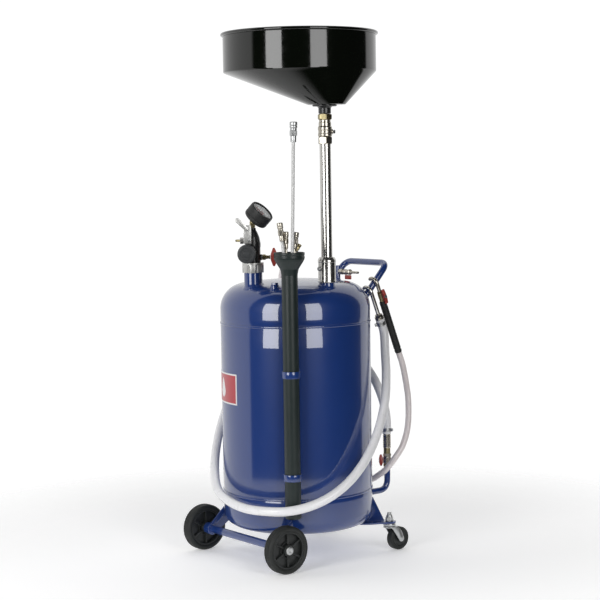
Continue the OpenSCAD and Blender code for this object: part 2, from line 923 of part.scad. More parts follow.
// The air fitting on the riser: a hexagon, a small valve and a plug for an air hose.
module air_inlet() {
    color(brass) difference() {
        at_inlet() {
            hex(15, inlet_start, 24);
            rod(6, 24, 32);
            rod(8, 32, 53);
            rod(5, 53, 59);
            rod(3.5, 56, 89);
        }
        at_tank() translate([riser_x, -inlet_valve_y, 0]) rod(2.5 + run, 740, inlet_z);
    }
}

module air_inlet_handle() {
    color(red) at_tank() translate([riser_x, -inlet_valve_y, 0]) {
        rod(2.5, 748, inlet_z - 3);
        translate([-3, -12, 739]) cube([6, 24, 11.5]);
    }
}

elbow_turn = atan2(elbow_y, elbow_x);
elbow_z = 762;
elbow_tail = 36;

// The elbow that the suction hose is pushed onto.
module suction_elbow() {
    color(nickel) at_tank() translate([elbow_x, elbow_y, 0]) rotate([0, 0, elbow_turn]) {
        hex(19, 747, 752);
        rod(8, 752, elbow_z);
        translate([0, 0, elbow_z]) sphere(r = 8.5, $fn = rod_fn);
        translate([0, 0, elbow_z]) rotate([0, 90, 0]) rod(7, 0, elbow_tail);
    }
}

outlet_stem_z = 234;
coupling_top_z = 308;

module at_outlet() {
    at_tank() translate([outlet_x, outlet_y, 0]) children();
}

// The discharge valve with the coupling above it that the delivery hose is pushed onto.
module outlet_valve() {
    color(brass) at_outlet() difference() {
        union() {
            hex(20, outlet_top_z, 224);
            rod(11, 224, 245);
            hex(20, 245, 253);
            rod(9.5, 253, 268);
            rod(11, 268, coupling_top_z);
        }
        translate([0, 0, outlet_stem_z]) rotate([0, -90, side_turn]) rod(3 + run, 4, 20);
    }
}

module outlet_valve_handle() {
    color(red) at_outlet() translate([0, 0, outlet_stem_z]) rotate([0, -90, side_turn]) {
        rod(3, 5, 16);
        translate([0, 0, 11 + gap]) wing_handle(16, 6, 2.5, 11, 8);
    }
}

// ---- delivery spout and suction gun ----

hang_lean = 21;
hook_bend = 16;
hook_sweep = 125;
spout_hook_x = 180;
gun_hook_x = 201;
spout_tube_r = 5.5;

// The point where a hook crosses the handle's near leg, at x along it. +Z is up along the leaning shaft,
// which hangs on the -Y side.
module at_leg_hook(x) {
    at_tank() translate([x, -handle_half, leg_foot_z + (x - leg_foot_x) * leg_rise / leg_run])
        rotate([0, -hang_lean, 0]) children();
}

module hook_tube(straight) {
    rotate([90, 0, -90]) bend(hook_bend, spout_tube_r, hook_sweep);
    translate([0, -hook_bend, 0]) rod(spout_tube_r, -straight, 0);
}

spout_straight = 64;
spout_nut_h = 14;

// The delivery hose's metal gooseneck, hooked over the handle's leg.
module delivery_spout() {
    color(steel) at_leg_hook(spout_hook_x) {
        hook_tube(spout_straight);
        translate([0, -hook_bend, -spout_straight - spout_nut_h]) {
            rod(9.5, 8, spout_nut_h);
            rod(12.5, 0, 8);
        }
    }
}

gun_valve_low = -50;
gun_valve_high = -22;
grip_r = 10;
grip_low = -206;

// The suction gun's gooseneck and its valve body.
module suction_gun() {
    color(nickel) at_leg_hook(gun_hook_x) difference() {
        union() {
            hook_tube(-gun_valve_high);
            translate([0, -hook_bend, 0]) rod(8, gun_valve_low, gun_valve_high);
        }
        translate([0, -hook_bend, -36]) rotate([90, 0, 0]) rod(2.5 + run, 2, 20);
    }
}

module gun_grip() {
    color(black) at_leg_hook(gun_hook_x) translate([0, -hook_bend, 0]) rotate_extrude() polygon([
        [0, grip_low], [grip_r - 1, grip_low], [grip_r, grip_low + 3], [grip_r, gun_valve_low - 3],
        [grip_r - 2, gun_valve_low], [0, gun_valve_low]
    ]);
}

module gun_lever() {
    color(red) at_leg_hook(gun_hook_x) translate([0, -hook_bend, -36]) rotate([90, 0, 0]) {
        rod(2.5, 4, 14);
        translate([0, 0, 10 + gap]) rotate([0, 0, 90]) wing_handle(21, 6, 2.5, 10, 9);
    }
}

// ---- hoses ----

// From the coupling up and round the back of the tank, over the rear hook, down the left side,
// across the front below the probe holder's straps and up to the spout.
delivery_route = [
    [242, -91, 308], [242, -91, 345], [239, -86, 385], [230, -75, 430], [223, -52, 470],
    [221, -8, 502], [210, 72, 517], [170, 143, 518], [107, 195, 512], [22, 222, 480],
    [-60, 214, 420], [-118, 190, 345], [-160, 160, 275], [-200, 108, 223], [-232, 45, 189],
    [-244, -25, 172], [-239, -90, 163], [-217, -146, 161], [-182, -193, 163], [-132, -226, 175],
    [-75, -243, 197], [-15, -248, 232], [45, -241, 282], [105, -218, 345], [160, -182, 415],
    [195, -147, 480], [214, -121, 540]
];

// From the gun's grip down past the outlet, round the rear at a low level and up the back to the elbow.
suction_route = [
    [301, -107, 445], [304, -112, 395], [293, -122, 330], [268, -130, 280], [245, -128, 250],
    [230, -120, 228], [221, -107, 210], [216, -88, 196], [213, -60, 180], [215, -10, 166],
    [210, 50, 163], [190, 108, 163], [155, 158, 170], [126, 186, 200], [116, 205, 250],
    [125, 226, 430], [133, 243, 620], [135, 247, 694]
];

module delivery_hose() {
    foot = at_hook_point(spout_hook_x, -spout_straight - spout_nut_h);
    below = at_hook_point(spout_hook_x, -spout_straight - spout_nut_h - 40);
    color(hose_white) at_tank() hose(concat(delivery_route, [below, foot]), delivery_d / 2, 12);
}

// A point on a hanging shaft's axis, at height along it.
function at_hook_point(x, along) = [
    x - along * sin(hang_lean),
    -handle_half - hook_bend,
    leg_foot_z + (x - leg_foot_x) * leg_rise / leg_run + along * cos(hang_lean)
];

// A point outwards from the elbow.
function beyond_elbow(d, z) = [elbow_x + d * cos(elbow_turn), elbow_y + d * sin(elbow_turn), z];

module suction_hose() {
    start = at_hook_point(gun_hook_x, grip_low);
    below = at_hook_point(gun_hook_x, grip_low - 40);
    over = [
        beyond_elbow(123, 720), beyond_elbow(108, 742), beyond_elbow(86, 757),
        beyond_elbow(60, elbow_z), beyond_elbow(elbow_tail, elbow_z)
    ];
    color(hose_pink) at_tank() hose(spline(concat([start, below], suction_route, over), 2), suction_d / 2, 10);
}

// ---- probes ----

knee_z = 800;
probe_low_z = 146;

// A probe at x, y in its holder, with a tube, and a two-step connector between neck and top. Above
// the knee it leans by an angle in a direction.
module probe(x, y, tube_r, neck, top, head_r, lean, toward) {
    step = neck + (top - neck) * 0.3;
    at_holder() translate([x, y, 0]) {
        rod(tube_r, probe_low_z, knee_z);
        translate([0, 0, knee_z]) sphere(r = tube_r + 0.3, $fn = rod_fn);
        translate([0, 0, knee_z]) rotate([0, lean, toward]) {
            rod(tube_r, 0, neck - knee_z);
            rod(head_r * 0.75, neck - knee_z, step - knee_z);
            rod(head_r, step - knee_z, top - knee_z);
        }
    }
}

module long_probe() {
    color(hose_white) probe(2, -10, 4.5, 1110, 1162, 10, 1.4, side_turn);
}

module side_probe() {
    color(hose_pink) probe(-11, 4, 4, 858, 906, 8, 6.5, side_turn + 180);
}

module short_probes() {
    color(brass) {
        probe(-2, 11, 4, 838, 882, 8, 0, 0);
        probe(11, -1, 4, 838, 881, 9, 6, side_turn);
        probe(8, 9, 3, 836, 856, 6, 30, -20);
    }
}

tank_barrel();
tank_top_head();
tank_bottom_head();
tank_bosses();
filler_plug();
outlet_pipe();
push_handle();
rear_hose_hook();
holder_straps();
probe_holder();
name_panel();
axle_carrier();
axle();
hub_caps();
tyre_left();
rim_left();
tyre_right();
rim_right();
caster_brackets();
caster_stems();
caster_fork_left();
caster_fork_right();
caster_wheel_left();
caster_wheel_right();
mast_sleeve();
mast_seal();
mast_lock_screw();
mast_guide();
mast_tube();
bowl_valve();
bowl_valve_lever();
swivel_nut();
bowl_spout();
bowl();
bowl_strainer();
union_ring();
pump_body();
silencer();
pump_air_valve();
pump_lever();
vacuum_valve();
vacuum_valve_handle();
gauge_case();
gauge_dial();
gauge_pointer();
gauge_lens();
air_inlet();
air_inlet_handle();
suction_elbow();
outlet_valve();
outlet_valve_handle();
delivery_spout();
suction_gun();
gun_grip();
gun_lever();
delivery_hose();
suction_hose();
long_probe();
side_probe();
short_probes();
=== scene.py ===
import math

import bmesh
import bpy
from mathutils import Matrix, Vector


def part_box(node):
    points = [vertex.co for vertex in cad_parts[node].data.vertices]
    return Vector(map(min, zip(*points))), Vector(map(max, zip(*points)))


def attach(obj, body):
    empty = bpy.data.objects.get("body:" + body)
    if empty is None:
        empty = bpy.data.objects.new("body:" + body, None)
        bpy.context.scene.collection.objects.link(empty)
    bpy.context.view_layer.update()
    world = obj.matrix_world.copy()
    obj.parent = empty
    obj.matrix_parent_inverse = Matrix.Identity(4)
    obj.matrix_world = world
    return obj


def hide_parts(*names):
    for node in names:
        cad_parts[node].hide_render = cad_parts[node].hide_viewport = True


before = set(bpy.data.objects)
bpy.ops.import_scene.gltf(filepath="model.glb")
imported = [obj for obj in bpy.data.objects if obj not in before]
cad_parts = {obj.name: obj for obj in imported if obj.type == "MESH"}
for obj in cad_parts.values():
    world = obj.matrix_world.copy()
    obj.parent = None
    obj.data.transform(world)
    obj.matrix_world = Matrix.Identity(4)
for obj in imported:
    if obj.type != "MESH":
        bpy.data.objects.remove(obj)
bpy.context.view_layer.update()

low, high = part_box("tank_barrel")
TANK_X = (low.x + high.x) * 500
TANK_Y = (low.y + high.y) * 500
PLACE = Matrix.Scale(0.001, 4) @ Matrix.Translation((TANK_X, TANK_Y, 0))
HERE = Matrix.Identity(4)


def move(x, y, z=0):
    return Matrix.Translation((x, y, z))


def turn(degrees, axis):
    return Matrix.Rotation(math.radians(degrees), 4, axis)


# ---- camera ----

YAW, PITCH, ROLL = math.radians(37.209), math.radians(4.384), math.radians(0.905)
forward = Vector((math.sin(YAW) * math.cos(PITCH), math.cos(YAW) * math.cos(PITCH), -math.sin(PITCH)))
level_right = Vector((math.cos(YAW), -math.sin(YAW), 0))
level_up = level_right.cross(forward)
right = level_right * math.cos(ROLL) - level_up * math.sin(ROLL)
up = level_right * math.sin(ROLL) + level_up * math.cos(ROLL)
camera_data = bpy.data.cameras.new("camera")
camera_data.lens = 99
camera_data.sensor_width = 36
camera_data.clip_start, camera_data.clip_end = 0.1, 100
camera = bpy.data.objects.new("camera", camera_data)
bpy.context.scene.collection.objects.link(camera)
spot = PLACE @ Vector((-2684.6, -3557.6, 1030.2))
camera.matrix_world = Matrix((
    (right.x, up.x, -forward.x, spot.x),
    (right.y, up.y, -forward.y, spot.y),
    (right.z, up.z, -forward.z, spot.z),
    (0, 0, 0, 1),
))
bpy.context.scene.camera = camera
bpy.context.scene.view_settings.view_transform = "Standard"
bpy.context.scene.view_settings.look = "None"


# ---- materials ----

def link(tree, a, b):
    tree.links.new(a, b)


def put(node, **values):
    """Set a node's inputs, with an underscore for each space in a name."""
    for name, value in values.items():
        node.inputs[name.replace("_", " ")].default_value = value


def shown(name, data):
    o = bpy.data.objects.new(name, data)
    bpy.context.scene.collection.objects.link(o)
    return o


def smooth_ramp(tree, value, low, high, low_value, high_value):
    """A smooth step from low_value to high_value as value goes from low to high."""
    ramp = tree.nodes.new("ShaderNodeMapRange")
    ramp.interpolation_type = "SMOOTHSTEP"
    put(ramp, From_Min=low, From_Max=high, To_Min=low_value, To_Max=high_value)
    link(tree, value, ramp.inputs["Value"])
    return ramp.outputs["Result"]


def noise(tree, vector, scale, detail, roughness):
    n = tree.nodes.new("ShaderNodeTexNoise")
    put(n, Scale=scale, Detail=detail, Roughness=roughness)
    link(tree, vector, n.inputs["Vector"])
    return n.outputs[0]


BUMP_DEPTH, ROUGH_SCALE = 0.0003, 60


def material(name, color, other, patch, rough, rough_to, grain, bump, metal=0.0, coat=0.0,
             coat_rough=0.03, coat_ior=1.5, stretch=(1, 1, 1), clear=0.0, soft=0.0, ior=1.5, level=0.5):
    """A finish whose colour varies in patches, with varied roughness and a fine bump."""
    m = bpy.data.materials.new(name)
    m.use_nodes = True
    tree = m.node_tree
    shader = tree.nodes["Principled BSDF"]
    put(shader, Metallic=metal, IOR=ior, Specular_IOR_Level=level, Coat_Weight=coat,
        Coat_Roughness=coat_rough, Coat_IOR=coat_ior, Transmission_Weight=clear, Subsurface_Weight=soft,
        Subsurface_Radius=(0.004, 0.004, 0.004))
    coords = tree.nodes.new("ShaderNodeTexCoord")
    mapping = tree.nodes.new("ShaderNodeMapping")
    put(mapping, Scale=stretch)
    link(tree, coords.outputs["Object"], mapping.inputs["Vector"])
    vector = mapping.outputs["Vector"]
    mix = tree.nodes.new("ShaderNodeMix")
    mix.data_type = "RGBA"
    mix.inputs[6].default_value = (*color, 1)
    mix.inputs[7].default_value = (*other, 1)
    link(tree, noise(tree, vector, patch, 4, 0.6), mix.inputs[0])
    link(tree, mix.outputs[2], shader.inputs["Base Color"])
    spread = tree.nodes.new("ShaderNodeMapRange")
    put(spread, From_Min=0.3, From_Max=0.7, To_Min=rough, To_Max=rough_to)
    link(tree, noise(tree, vector, ROUGH_SCALE, 5, 0.65), spread.inputs["Value"])
    link(tree, spread.outputs["Result"], shader.inputs["Roughness"])
    b = tree.nodes.new("ShaderNodeBump")
    put(b, Strength=bump, Distance=BUMP_DEPTH)
    link(tree, noise(tree, vector, grain, 3, 0.55), b.inputs["Height"])
    link(tree, b.outputs["Normal"], shader.inputs["Normal"])
    return m


ENAMEL = material("enamel_blue", (0.0095, 0.040, 0.195), (0.0085, 0.035, 0.176), patch=9, rough=0.30,
                  rough_to=0.36, coat=1.0, coat_rough=0.035, coat_ior=1.75, grain=120, bump=0.02,
                  level=0.3)
BOWL = material("enamel_black", (0.0012, 0.0022, 0.0010), (0.0020, 0.0030, 0.0017), patch=12, rough=0.07,
                rough_to=0.12, coat=0.45, coat_rough=0.03, grain=120, bump=0.02)
BLACK_METAL = material("black_metal", (0.010, 0.011, 0.011), (0.016, 0.017, 0.017), patch=60, rough=0.26,
                       rough_to=0.38, coat=0.3, coat_rough=0.1, grain=700, bump=0.12)
RUBBER = material("tyre_rubber", (0.007, 0.009, 0.008), (0.012, 0.014, 0.013), patch=70, rough=0.52,
                  rough_to=0.68, grain=900, bump=0.35)
SOFT_RUBBER = material("grip_rubber", (0.010, 0.011, 0.011), (0.018, 0.019, 0.019), patch=80, rough=0.42,
                       rough_to=0.55, grain=1100, bump=0.3)
RIM = material("rim_plastic", (0.014, 0.016, 0.016), (0.020, 0.023, 0.022), patch=50, rough=0.34,
               rough_to=0.46, grain=800, bump=0.15)
HOLDER = material("holder_plastic", (0.009, 0.017, 0.016), (0.013, 0.022, 0.021), patch=25, rough=0.34,
                  rough_to=0.44, grain=600, bump=0.12)
GREY_PLASTIC = material("silencer_plastic", (0.028, 0.031, 0.034), (0.040, 0.043, 0.046), patch=60,
                        rough=0.42, rough_to=0.55, grain=900, bump=0.2)
CHROME = material("polished_steel", (0.70, 0.69, 0.66), (0.62, 0.61, 0.58), patch=40, rough=0.20,
                  rough_to=0.27, metal=1, grain=90, bump=0.03, stretch=(18, 18, 1))
SATIN = material("satin_steel", (0.62, 0.61, 0.58), (0.50, 0.49, 0.47), patch=40, rough=0.26,
                 rough_to=0.36, metal=1, grain=60, bump=0.08, stretch=(3, 3, 30))
BRIGHT_SATIN = material("bright_satin_steel", (0.74, 0.74, 0.72), (0.62, 0.62, 0.60), patch=60,
                        rough=0.38, rough_to=0.5, metal=1, grain=500, bump=0.08)
ZINC = material("zinc_plate", (0.62, 0.63, 0.63), (0.48, 0.49, 0.49), patch=55, rough=0.28,
                rough_to=0.44, metal=1, grain=500, bump=0.1)
NICKEL = material("nickel_plate", (0.58, 0.55, 0.48), (0.44, 0.41, 0.35), patch=70, rough=0.22,
                  rough_to=0.34, metal=1, grain=500, bump=0.06)
BRASS = material("brass", (0.42, 0.36, 0.20), (0.28, 0.24, 0.13), patch=90, rough=0.27,
                 rough_to=0.42, metal=1, grain=500, bump=0.08)
RED = material("red_plastic", (0.40, 0.045, 0.030), (0.33, 0.036, 0.026), patch=60, rough=0.33,
               rough_to=0.42, coat=0.2, grain=700, bump=0.1)
PANEL_RED = material("panel_red", (0.48, 0.030, 0.045), (0.43, 0.026, 0.040), patch=20, rough=0.3,
                     rough_to=0.36, coat=0.4, grain=300, bump=0.03)
PANEL_WHITE = material("panel_white", (0.80, 0.80, 0.80), (0.76, 0.76, 0.77), patch=20, rough=0.3,
                       rough_to=0.36, coat=0.4, grain=300, bump=0.03)
DIAL = material("dial_white", (0.82, 0.82, 0.80), (0.78, 0.78, 0.75), patch=40, rough=0.38, rough_to=0.45,
                grain=400, bump=0.03)
INK = material("dial_ink", (0.012, 0.012, 0.013), (0.02, 0.02, 0.02), patch=60, rough=0.45,
               rough_to=0.5625, grain=400, bump=0.03)
WHITE_HOSE = material("hose_white", (0.89, 0.89, 0.90), (0.83, 0.83, 0.85), patch=22, rough=0.24,
                      rough_to=0.36, coat=0.4, coat_rough=0.10, soft=0.25, grain=240, bump=0.08)
CLEAR_HOSE = material("hose_clear", (0.89, 0.83, 0.82), (0.79, 0.72, 0.715), patch=26, rough=0.20,
                      rough_to=0.32, coat=0.6, coat_rough=0.06, soft=0.35, grain=240, bump=0.08)
PROBE_TUBE = material("probe_tube", (0.66, 0.66, 0.65), (0.57, 0.57, 0.565), patch=30, rough=0.22,
                      rough_to=0.32, coat=0.5, soft=0.3, grain=300, bump=0.05)
GLASS = material("gauge_glass", (0.93, 0.95, 0.96), (0.90, 0.93, 0.94), patch=20, rough=0.02,
                 rough_to=0.05, clear=1.0, ior=1.46, grain=100, bump=0.01)
FINISH = {
    "tank_blue": ENAMEL, "bowl_black": BOWL, "panel_red": PANEL_RED, "black_plastic": GREY_PLASTIC,
    "holder_plastic": HOLDER, "rim_plastic": RIM, "red_plastic": RED, "dial_white": DIAL,
    "rubber": SOFT_RUBBER, "tyre": RUBBER, "bright_steel": CHROME, "satin_steel": SATIN, "zinc": ZINC,
    "nickel": NICKEL, "brass": BRASS, "black_metal": BLACK_METAL, "hose_white": WHITE_HOSE,
    "hose_clear": CLEAR_HOSE, "clear_lens": GLASS,
}


# ---- shapes ----

def rounded(points, size, steps=3, closed=False):
    """The same line with each corner rounded off. Points have two or three coordinates."""
    points = [Vector(p) for p in points]
    out = []
    for i, p in enumerate(points):
        if not closed and i in (0, len(points) - 1):
            out.append(p)
            continue
        back, on = points[i - 1] - p, points[(i + 1) % len(points)] - p
        if back.length < 1e-6 or on.length < 1e-6 or back.angle(on) > math.radians(176):
            out.append(p)
            continue
        reach = min(size, back.length * 0.48, on.length * 0.48)
        a, b = p + back.normalized() * reach, p + on.normalized() * reach
        for k in range(steps + 1):
            t = k / steps
            out.append(a * (1 - t) ** 2 + p * 2 * t * (1 - t) + b * t * t)
    return out


def arc(x, y, r, start, end, steps):
    angles = [math.radians(start + (end - start) * k / steps) for k in range(steps + 1)]
    return [(x + r * math.cos(a), y + r * math.sin(a)) for a in angles]


class Piece:
    """One visible piece, made of closed shells that are added one by one."""

    def __init__(self, name, body="tank", nodes=(), slot=None):
        self.name, self.body, self.nodes, self.slot = name, body, nodes, slot
        self.mesh = bmesh.new()
        self.finishes = []

    def paint(self, finish):
        if finish not in self.finishes:
            self.finishes.append(finish)
        return self.finishes.index(finish)

    def rings(self, rings, finish, closed=False, caps=True):
        """Faces between rings of points, each with the same number of points, or one at a pole."""
        index = self.paint(finish)
        made = [[self.mesh.verts.new(PLACE @ p) for p in ring] for ring in rings]
        pairs = list(zip(made, made[1:]))
        if closed:
            pairs.append((made[-1], made[0]))
        faces = []
        for a, b in pairs:
            count = max(len(a), len(b))
            for k in range(count):
                n = (k + 1) % count
                if len(a) == 1 and len(b) == 1:
                    continue
                if len(a) == 1:
                    faces.append((a[0], b[k], b[n]))
                elif len(b) == 1:
                    faces.append((a[k], b[0], a[n]))
                else:
                    faces.append((a[k], a[n], b[n], b[k]))
        if caps and not closed:
            for ring in (made[0], made[-1]):
                if len(ring) > 2:
                    faces.append(tuple(ring))
        new = [self.mesh.faces.new(f) for f in faces]
        for f in new:
            f.material_index = index
            f.smooth = True
        bmesh.ops.recalc_face_normals(self.mesh, faces=new)

    def lathe(self, outline, finish, at=HERE, steps=48, closed=False, round_by=0.0):
        if round_by:
            outline = rounded(outline, round_by, closed=closed)
        rings = []
        for r, z in outline:
            if r < 1e-6:
                rings.append([at @ Vector((0, 0, z))])
            else:
                angles = [2 * math.pi * k / steps for k in range(steps)]
                rings.append([at @ Vector((r * math.cos(a), r * math.sin(a), z)) for a in angles])
        self.rings(rings, finish, closed)

    def rod(self, r, z0, z1, finish, at=HERE, steps=32, edge=0.6):
        self.lathe([(0, z0), (r, z0), (r, z1), (0, z1)], finish, at, steps, round_by=edge)

    def ring(self, outer, inner, z0, z1, finish, at=HERE, steps=48, edge=0.6):
        outline = [(inner, z0), (outer, z0), (outer, z1), (inner, z1)]
        self.lathe(outline, finish, at, steps, closed=True, round_by=edge)

    def nut(self, flats, z0, z1, finish, at=HERE, sides=6, start=0.0):
        """A nut whose corners are chamfered at both ends."""
        steps = sides * 8
        half = flats / 2
        rings = []
        reach = []
        for k in range(steps):
            a = 2 * math.pi * k / steps
            fold = (a % (2 * math.pi / sides)) - math.pi / sides
            reach.append((a + start, min(half / math.cos(fold),
                                         half / math.cos(math.pi / sides) * 0.985)))
        for z, side in ((z0, 1), (z1, -1)):
            face = [at @ Vector((half * 0.93 * math.cos(a), half * 0.93 * math.sin(a), z)) for a,
                    r in reach]
            edge = [
                at @ Vector((r * math.cos(a), r * math.sin(a), z + side * (0.5 + (r - half) * 0.75)))
                for a, r in reach
            ]
            rings.append([at @ Vector((0, 0, z))])
            rings.append(face)
            rings.append(edge)
        self.rings(rings[:3] + rings[:2:-1], finish)

    def prism(self, outline, z0, z1, finish, at=HERE, edge=0.8):
        """An outline pushed straight up, with rounded edges."""
        points = [Vector(p) for p in outline]
        area = sum(
            a.x * b.y - b.x * a.y for a, b in zip(points, points[1:] + points[:1])
        )
        if area < 0:
            points.reverse()
        count = len(points)

        def inset(by):
            moved = []
            for i, p in enumerate(points):
                a = (p - points[i - 1]).normalized()
                b = (points[(i + 1) % count] - p).normalized()
                na, nb = Vector((-a.y, a.x)), Vector((-b.y, b.x))
                way = na + nb
                way = way / max(way.dot(way) / 2, 0.35)
                moved.append(p + way * by)
            return moved

        e = min(edge, (z1 - z0) * 0.45)
        loops = [(e, 0), (e * 0.3, e * 0.3), (0, e)]
        levels = [(by, z0 + rise) for by, rise in loops]
        levels += [(by, z1 - rise) for by, rise in reversed(loops)]
        rings = [[at @ Vector((p.x, p.y, z)) for p in inset(by)] for by, z in levels]
        self.rings(rings, finish)

    def box(self, x0, x1, y0, y1, z0, z1, finish, at=HERE, edge=0.8, corner=1.0):
        outline = rounded([(x0, y0), (x1, y0), (x1, y1), (x0, y1)], corner, closed=True)
        self.prism(outline, z0, z1, finish, at, edge)

    def tube(self, path, r, finish, at=HERE, sides=20, bend=0.0, steps=8, edge=0.8):
        """A round bar along a path of points, with rounded ends."""
        points = [at @ Vector(p) for p in path]
        if bend:
            points = rounded(points, bend, steps)
        ends = (points[0] - points[1]).normalized(), (points[-1] - points[-2]).normalized()
        line = [(points[0], r - edge), (points[0] - ends[0] * edge * 0.3, r - edge * 0.3),
                (points[0] - ends[0] * edge, r)]
        line += [(p, r) for p in points[1:-1]]
        line += [(points[-1] - ends[1] * edge, r), (points[-1] - ends[1] * edge * 0.3, r - edge * 0.3),
                 (points[-1], r - edge)]
        way = (points[1] - points[0]).normalized()
        side = way.orthogonal().normalized()
        rings = [[points[0]]]
        for i, (p, radius) in enumerate(line):
            a = line[max(i - 1, 0)][0]
            b = line[min(i + 1, len(line) - 1)][0]
            now = (b - a).normalized()
            side = (side - now * side.dot(now)).normalized()
            other = now.cross(side)
            angles = [2 * math.pi * k / sides for k in range(sides)]
            rings.append([p + (side * math.cos(t) + other * math.sin(t)) * radius for t in angles])
        rings.append([points[-1]])
        self.rings(rings, finish)

    def weld(self, at, r, finish, size=4.0, start=0.0, steps=96):
        """A rippled weld bead where a round bar along at's Z axis goes into the tank."""
        rings = []
        for k in range(steps):
            a = 2 * math.pi * k / steps
            wave = 1 + 0.07 * math.cos(k * math.pi / 2)
            way = Vector((math.cos(a), math.sin(a), 0))
            inner = hit(at, way * (r - 0.4), start)
            outer = hit(at, way * (r + size * wave), start)
            axis = (at.to_3x3() @ Vector((0, 0, 1))).normalized()
            top = inner + axis * size * wave
            bulge = (inner + outer + top) / 3 + (outer + top - 2 * inner) * 0.16
            low_in = inner - axis * 1.5
            rings.append([low_in, outer - axis * 1.0, outer, bulge, top])
        across = list(zip(*rings))
        self.rings([list(ring) for ring in across], finish, closed=True)

    def done(self):
        data = bpy.data.meshes.new(self.name)
        self.mesh.to_mesh(data)
        self.mesh.free()
        for finish in self.finishes:
            data.materials.append(finish)
        data.set_sharp_from_angle(angle=math.radians(38))
        o = shown(self.name, data)
        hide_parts(*self.nodes)
        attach(o, self.body)


def softened(node, body, slot, edge=0.7, steps=2, finish=None):
    """A CAD node's shape with its edges rounded."""
    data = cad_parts[node].data.copy()
    mesh = bmesh.new()
    mesh.from_mesh(data)
    bmesh.ops.remove_doubles(mesh, verts=mesh.verts, dist=2e-6)
    bmesh.ops.dissolve_limit(mesh, angle_limit=math.radians(0.6), verts=mesh.verts, edges=mesh.edges)
    sharp = [
        e for e in mesh.edges
        if len(e.link_faces) == 2 and e.calc_face_angle(0) > math.radians(32)
    ]
    bmesh.ops.bevel(mesh, geom=sharp, offset=edge / 1000, segments=steps, profile=0.5, affect="EDGES",
                    clamp_overlap=True)
    for f in mesh.faces:
        f.smooth = True
        f.material_index = 0
    bmesh.ops.recalc_face_normals(mesh, faces=mesh.faces)
    new = bpy.data.meshes.new(node + "_smooth")
    mesh.to_mesh(new)
    mesh.free()
    new.materials.append(finish or FINISH[slot])
    new.set_sharp_from_angle(angle=math.radians(40))
    o = shown(node + "_smooth", new)
    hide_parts(node)
    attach(o, body)


# ---- the tank's surface ----

TANK_R, FLOOR_Z, BOTTOM_R, SHOULDER_Z, SHOULDER_R = 203, 82, 38, 669, 69
CROWN = math.radians(8)
CROWN_R = (TANK_R - SHOULDER_R + SHOULDER_R * math.sin(CROWN)) / math.sin(CROWN)
CROWN_Z = SHOULDER_Z + SHOULDER_R * math.cos(CROWN) - CROWN_R * math.cos(CROWN)
LOW_SEAM, TOP_SEAM = 178, 632


def top_z(r):
    if r <= CROWN_R * math.sin(CROWN):
        return CROWN_Z + math.sqrt(CROWN_R ** 2 - r * r)
    inside = min(r - (TANK_R - SHOULDER_R), SHOULDER_R)
    return SHOULDER_Z + math.sqrt(max(SHOULDER_R ** 2 - inside ** 2, 0))


def in_tank(p):
    r = math.hypot(p.x, p.y)
    if r >= TANK_R or p.z < FLOOR_Z:
        return False
    if p.z < FLOOR_Z + BOTTOM_R and r > TANK_R - BOTTOM_R:
        return math.hypot(r - TANK_R + BOTTOM_R, p.z - FLOOR_Z - BOTTOM_R) < BOTTOM_R
    return p.z < top_z(r)


def hit(at, offset, start):
    """The point where a line along at's Z axis, down from start, meets the tank."""
    far, near = start, start
    step = 2.0
    while not in_tank(at @ (offset + Vector((0, 0, near)))) and near > start - 400:
        far = near
        near -= step
    for _ in range(14):
        middle = (far + near) / 2
        if in_tank(at @ (offset + Vector((0, 0, middle)))):
            near = middle
        else:
            far = middle
    return at @ (offset + Vector((0, 0, far)))


# ---- cords ----

SIDE = -36  # the turn of the vacuum head and the small levers
LEG_FOOT_X, LEG_FOOT_Z, HANDLE_Y = 172, 694, 91
HANDLE_X, HANDLE_Z = 251.5, 781
RISE = (HANDLE_Z - LEG_FOOT_Z) / (HANDLE_X - LEG_FOOT_X)
LEAN = 21
HOOK_BEND = 16


def at_hook(x):
    return move(x, -HANDLE_Y, LEG_FOOT_Z + (x - LEG_FOOT_X) * RISE) @ turn(-LEAN, "Y")


def on_hook(x, along):
    return at_hook(x) @ Vector((0, -HOOK_BEND, along))


def smooth_line(points, steps):
    """Points of a smooth curve through the given ones."""
    p = [Vector(q) for q in points]
    out = []
    for i in range(len(p) - 1):
        a, b, c, d = p[max(i - 1, 0)], p[i], p[i + 1], p[min(i + 2, len(p) - 1)]
        for k in range(steps):
            t = k / steps
            out.append(0.5 * (2 * b + (c - a) * t + (2 * a - 5 * b + 4 * c - d) * t * t
                              + (3 * b - a - 3 * c + d) * t * t * t))
    return out + [p[-1]]


def cord(name, node, route, radius, finish):
    points = [PLACE @ p for p in smooth_line(route, 8)]
    data = bpy.data.curves.new(name, "CURVE")
    data.dimensions = "3D"
    data.bevel_depth = radius / 1000
    data.bevel_resolution = 8
    data.use_fill_caps = True
    line = data.splines.new("POLY")
    line.points.add(len(points) - 1)
    for spline_point, p in zip(line.points, points):
        spline_point.co = (*p, 1)
    line.use_smooth = True
    data.materials.append(finish)
    o = shown(name, data)
    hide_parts(node)
    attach(o, "tank")


ELBOW_X, ELBOW_Y, ELBOW_Z = 74, 135, 762
ELBOW = move(ELBOW_X, ELBOW_Y) @ turn(math.degrees(math.atan2(ELBOW_Y, ELBOW_X)), "Z")
SPOUT_X, SPOUT_END = 180, -78
GUN_X, GRIP_LOW = 201, -206

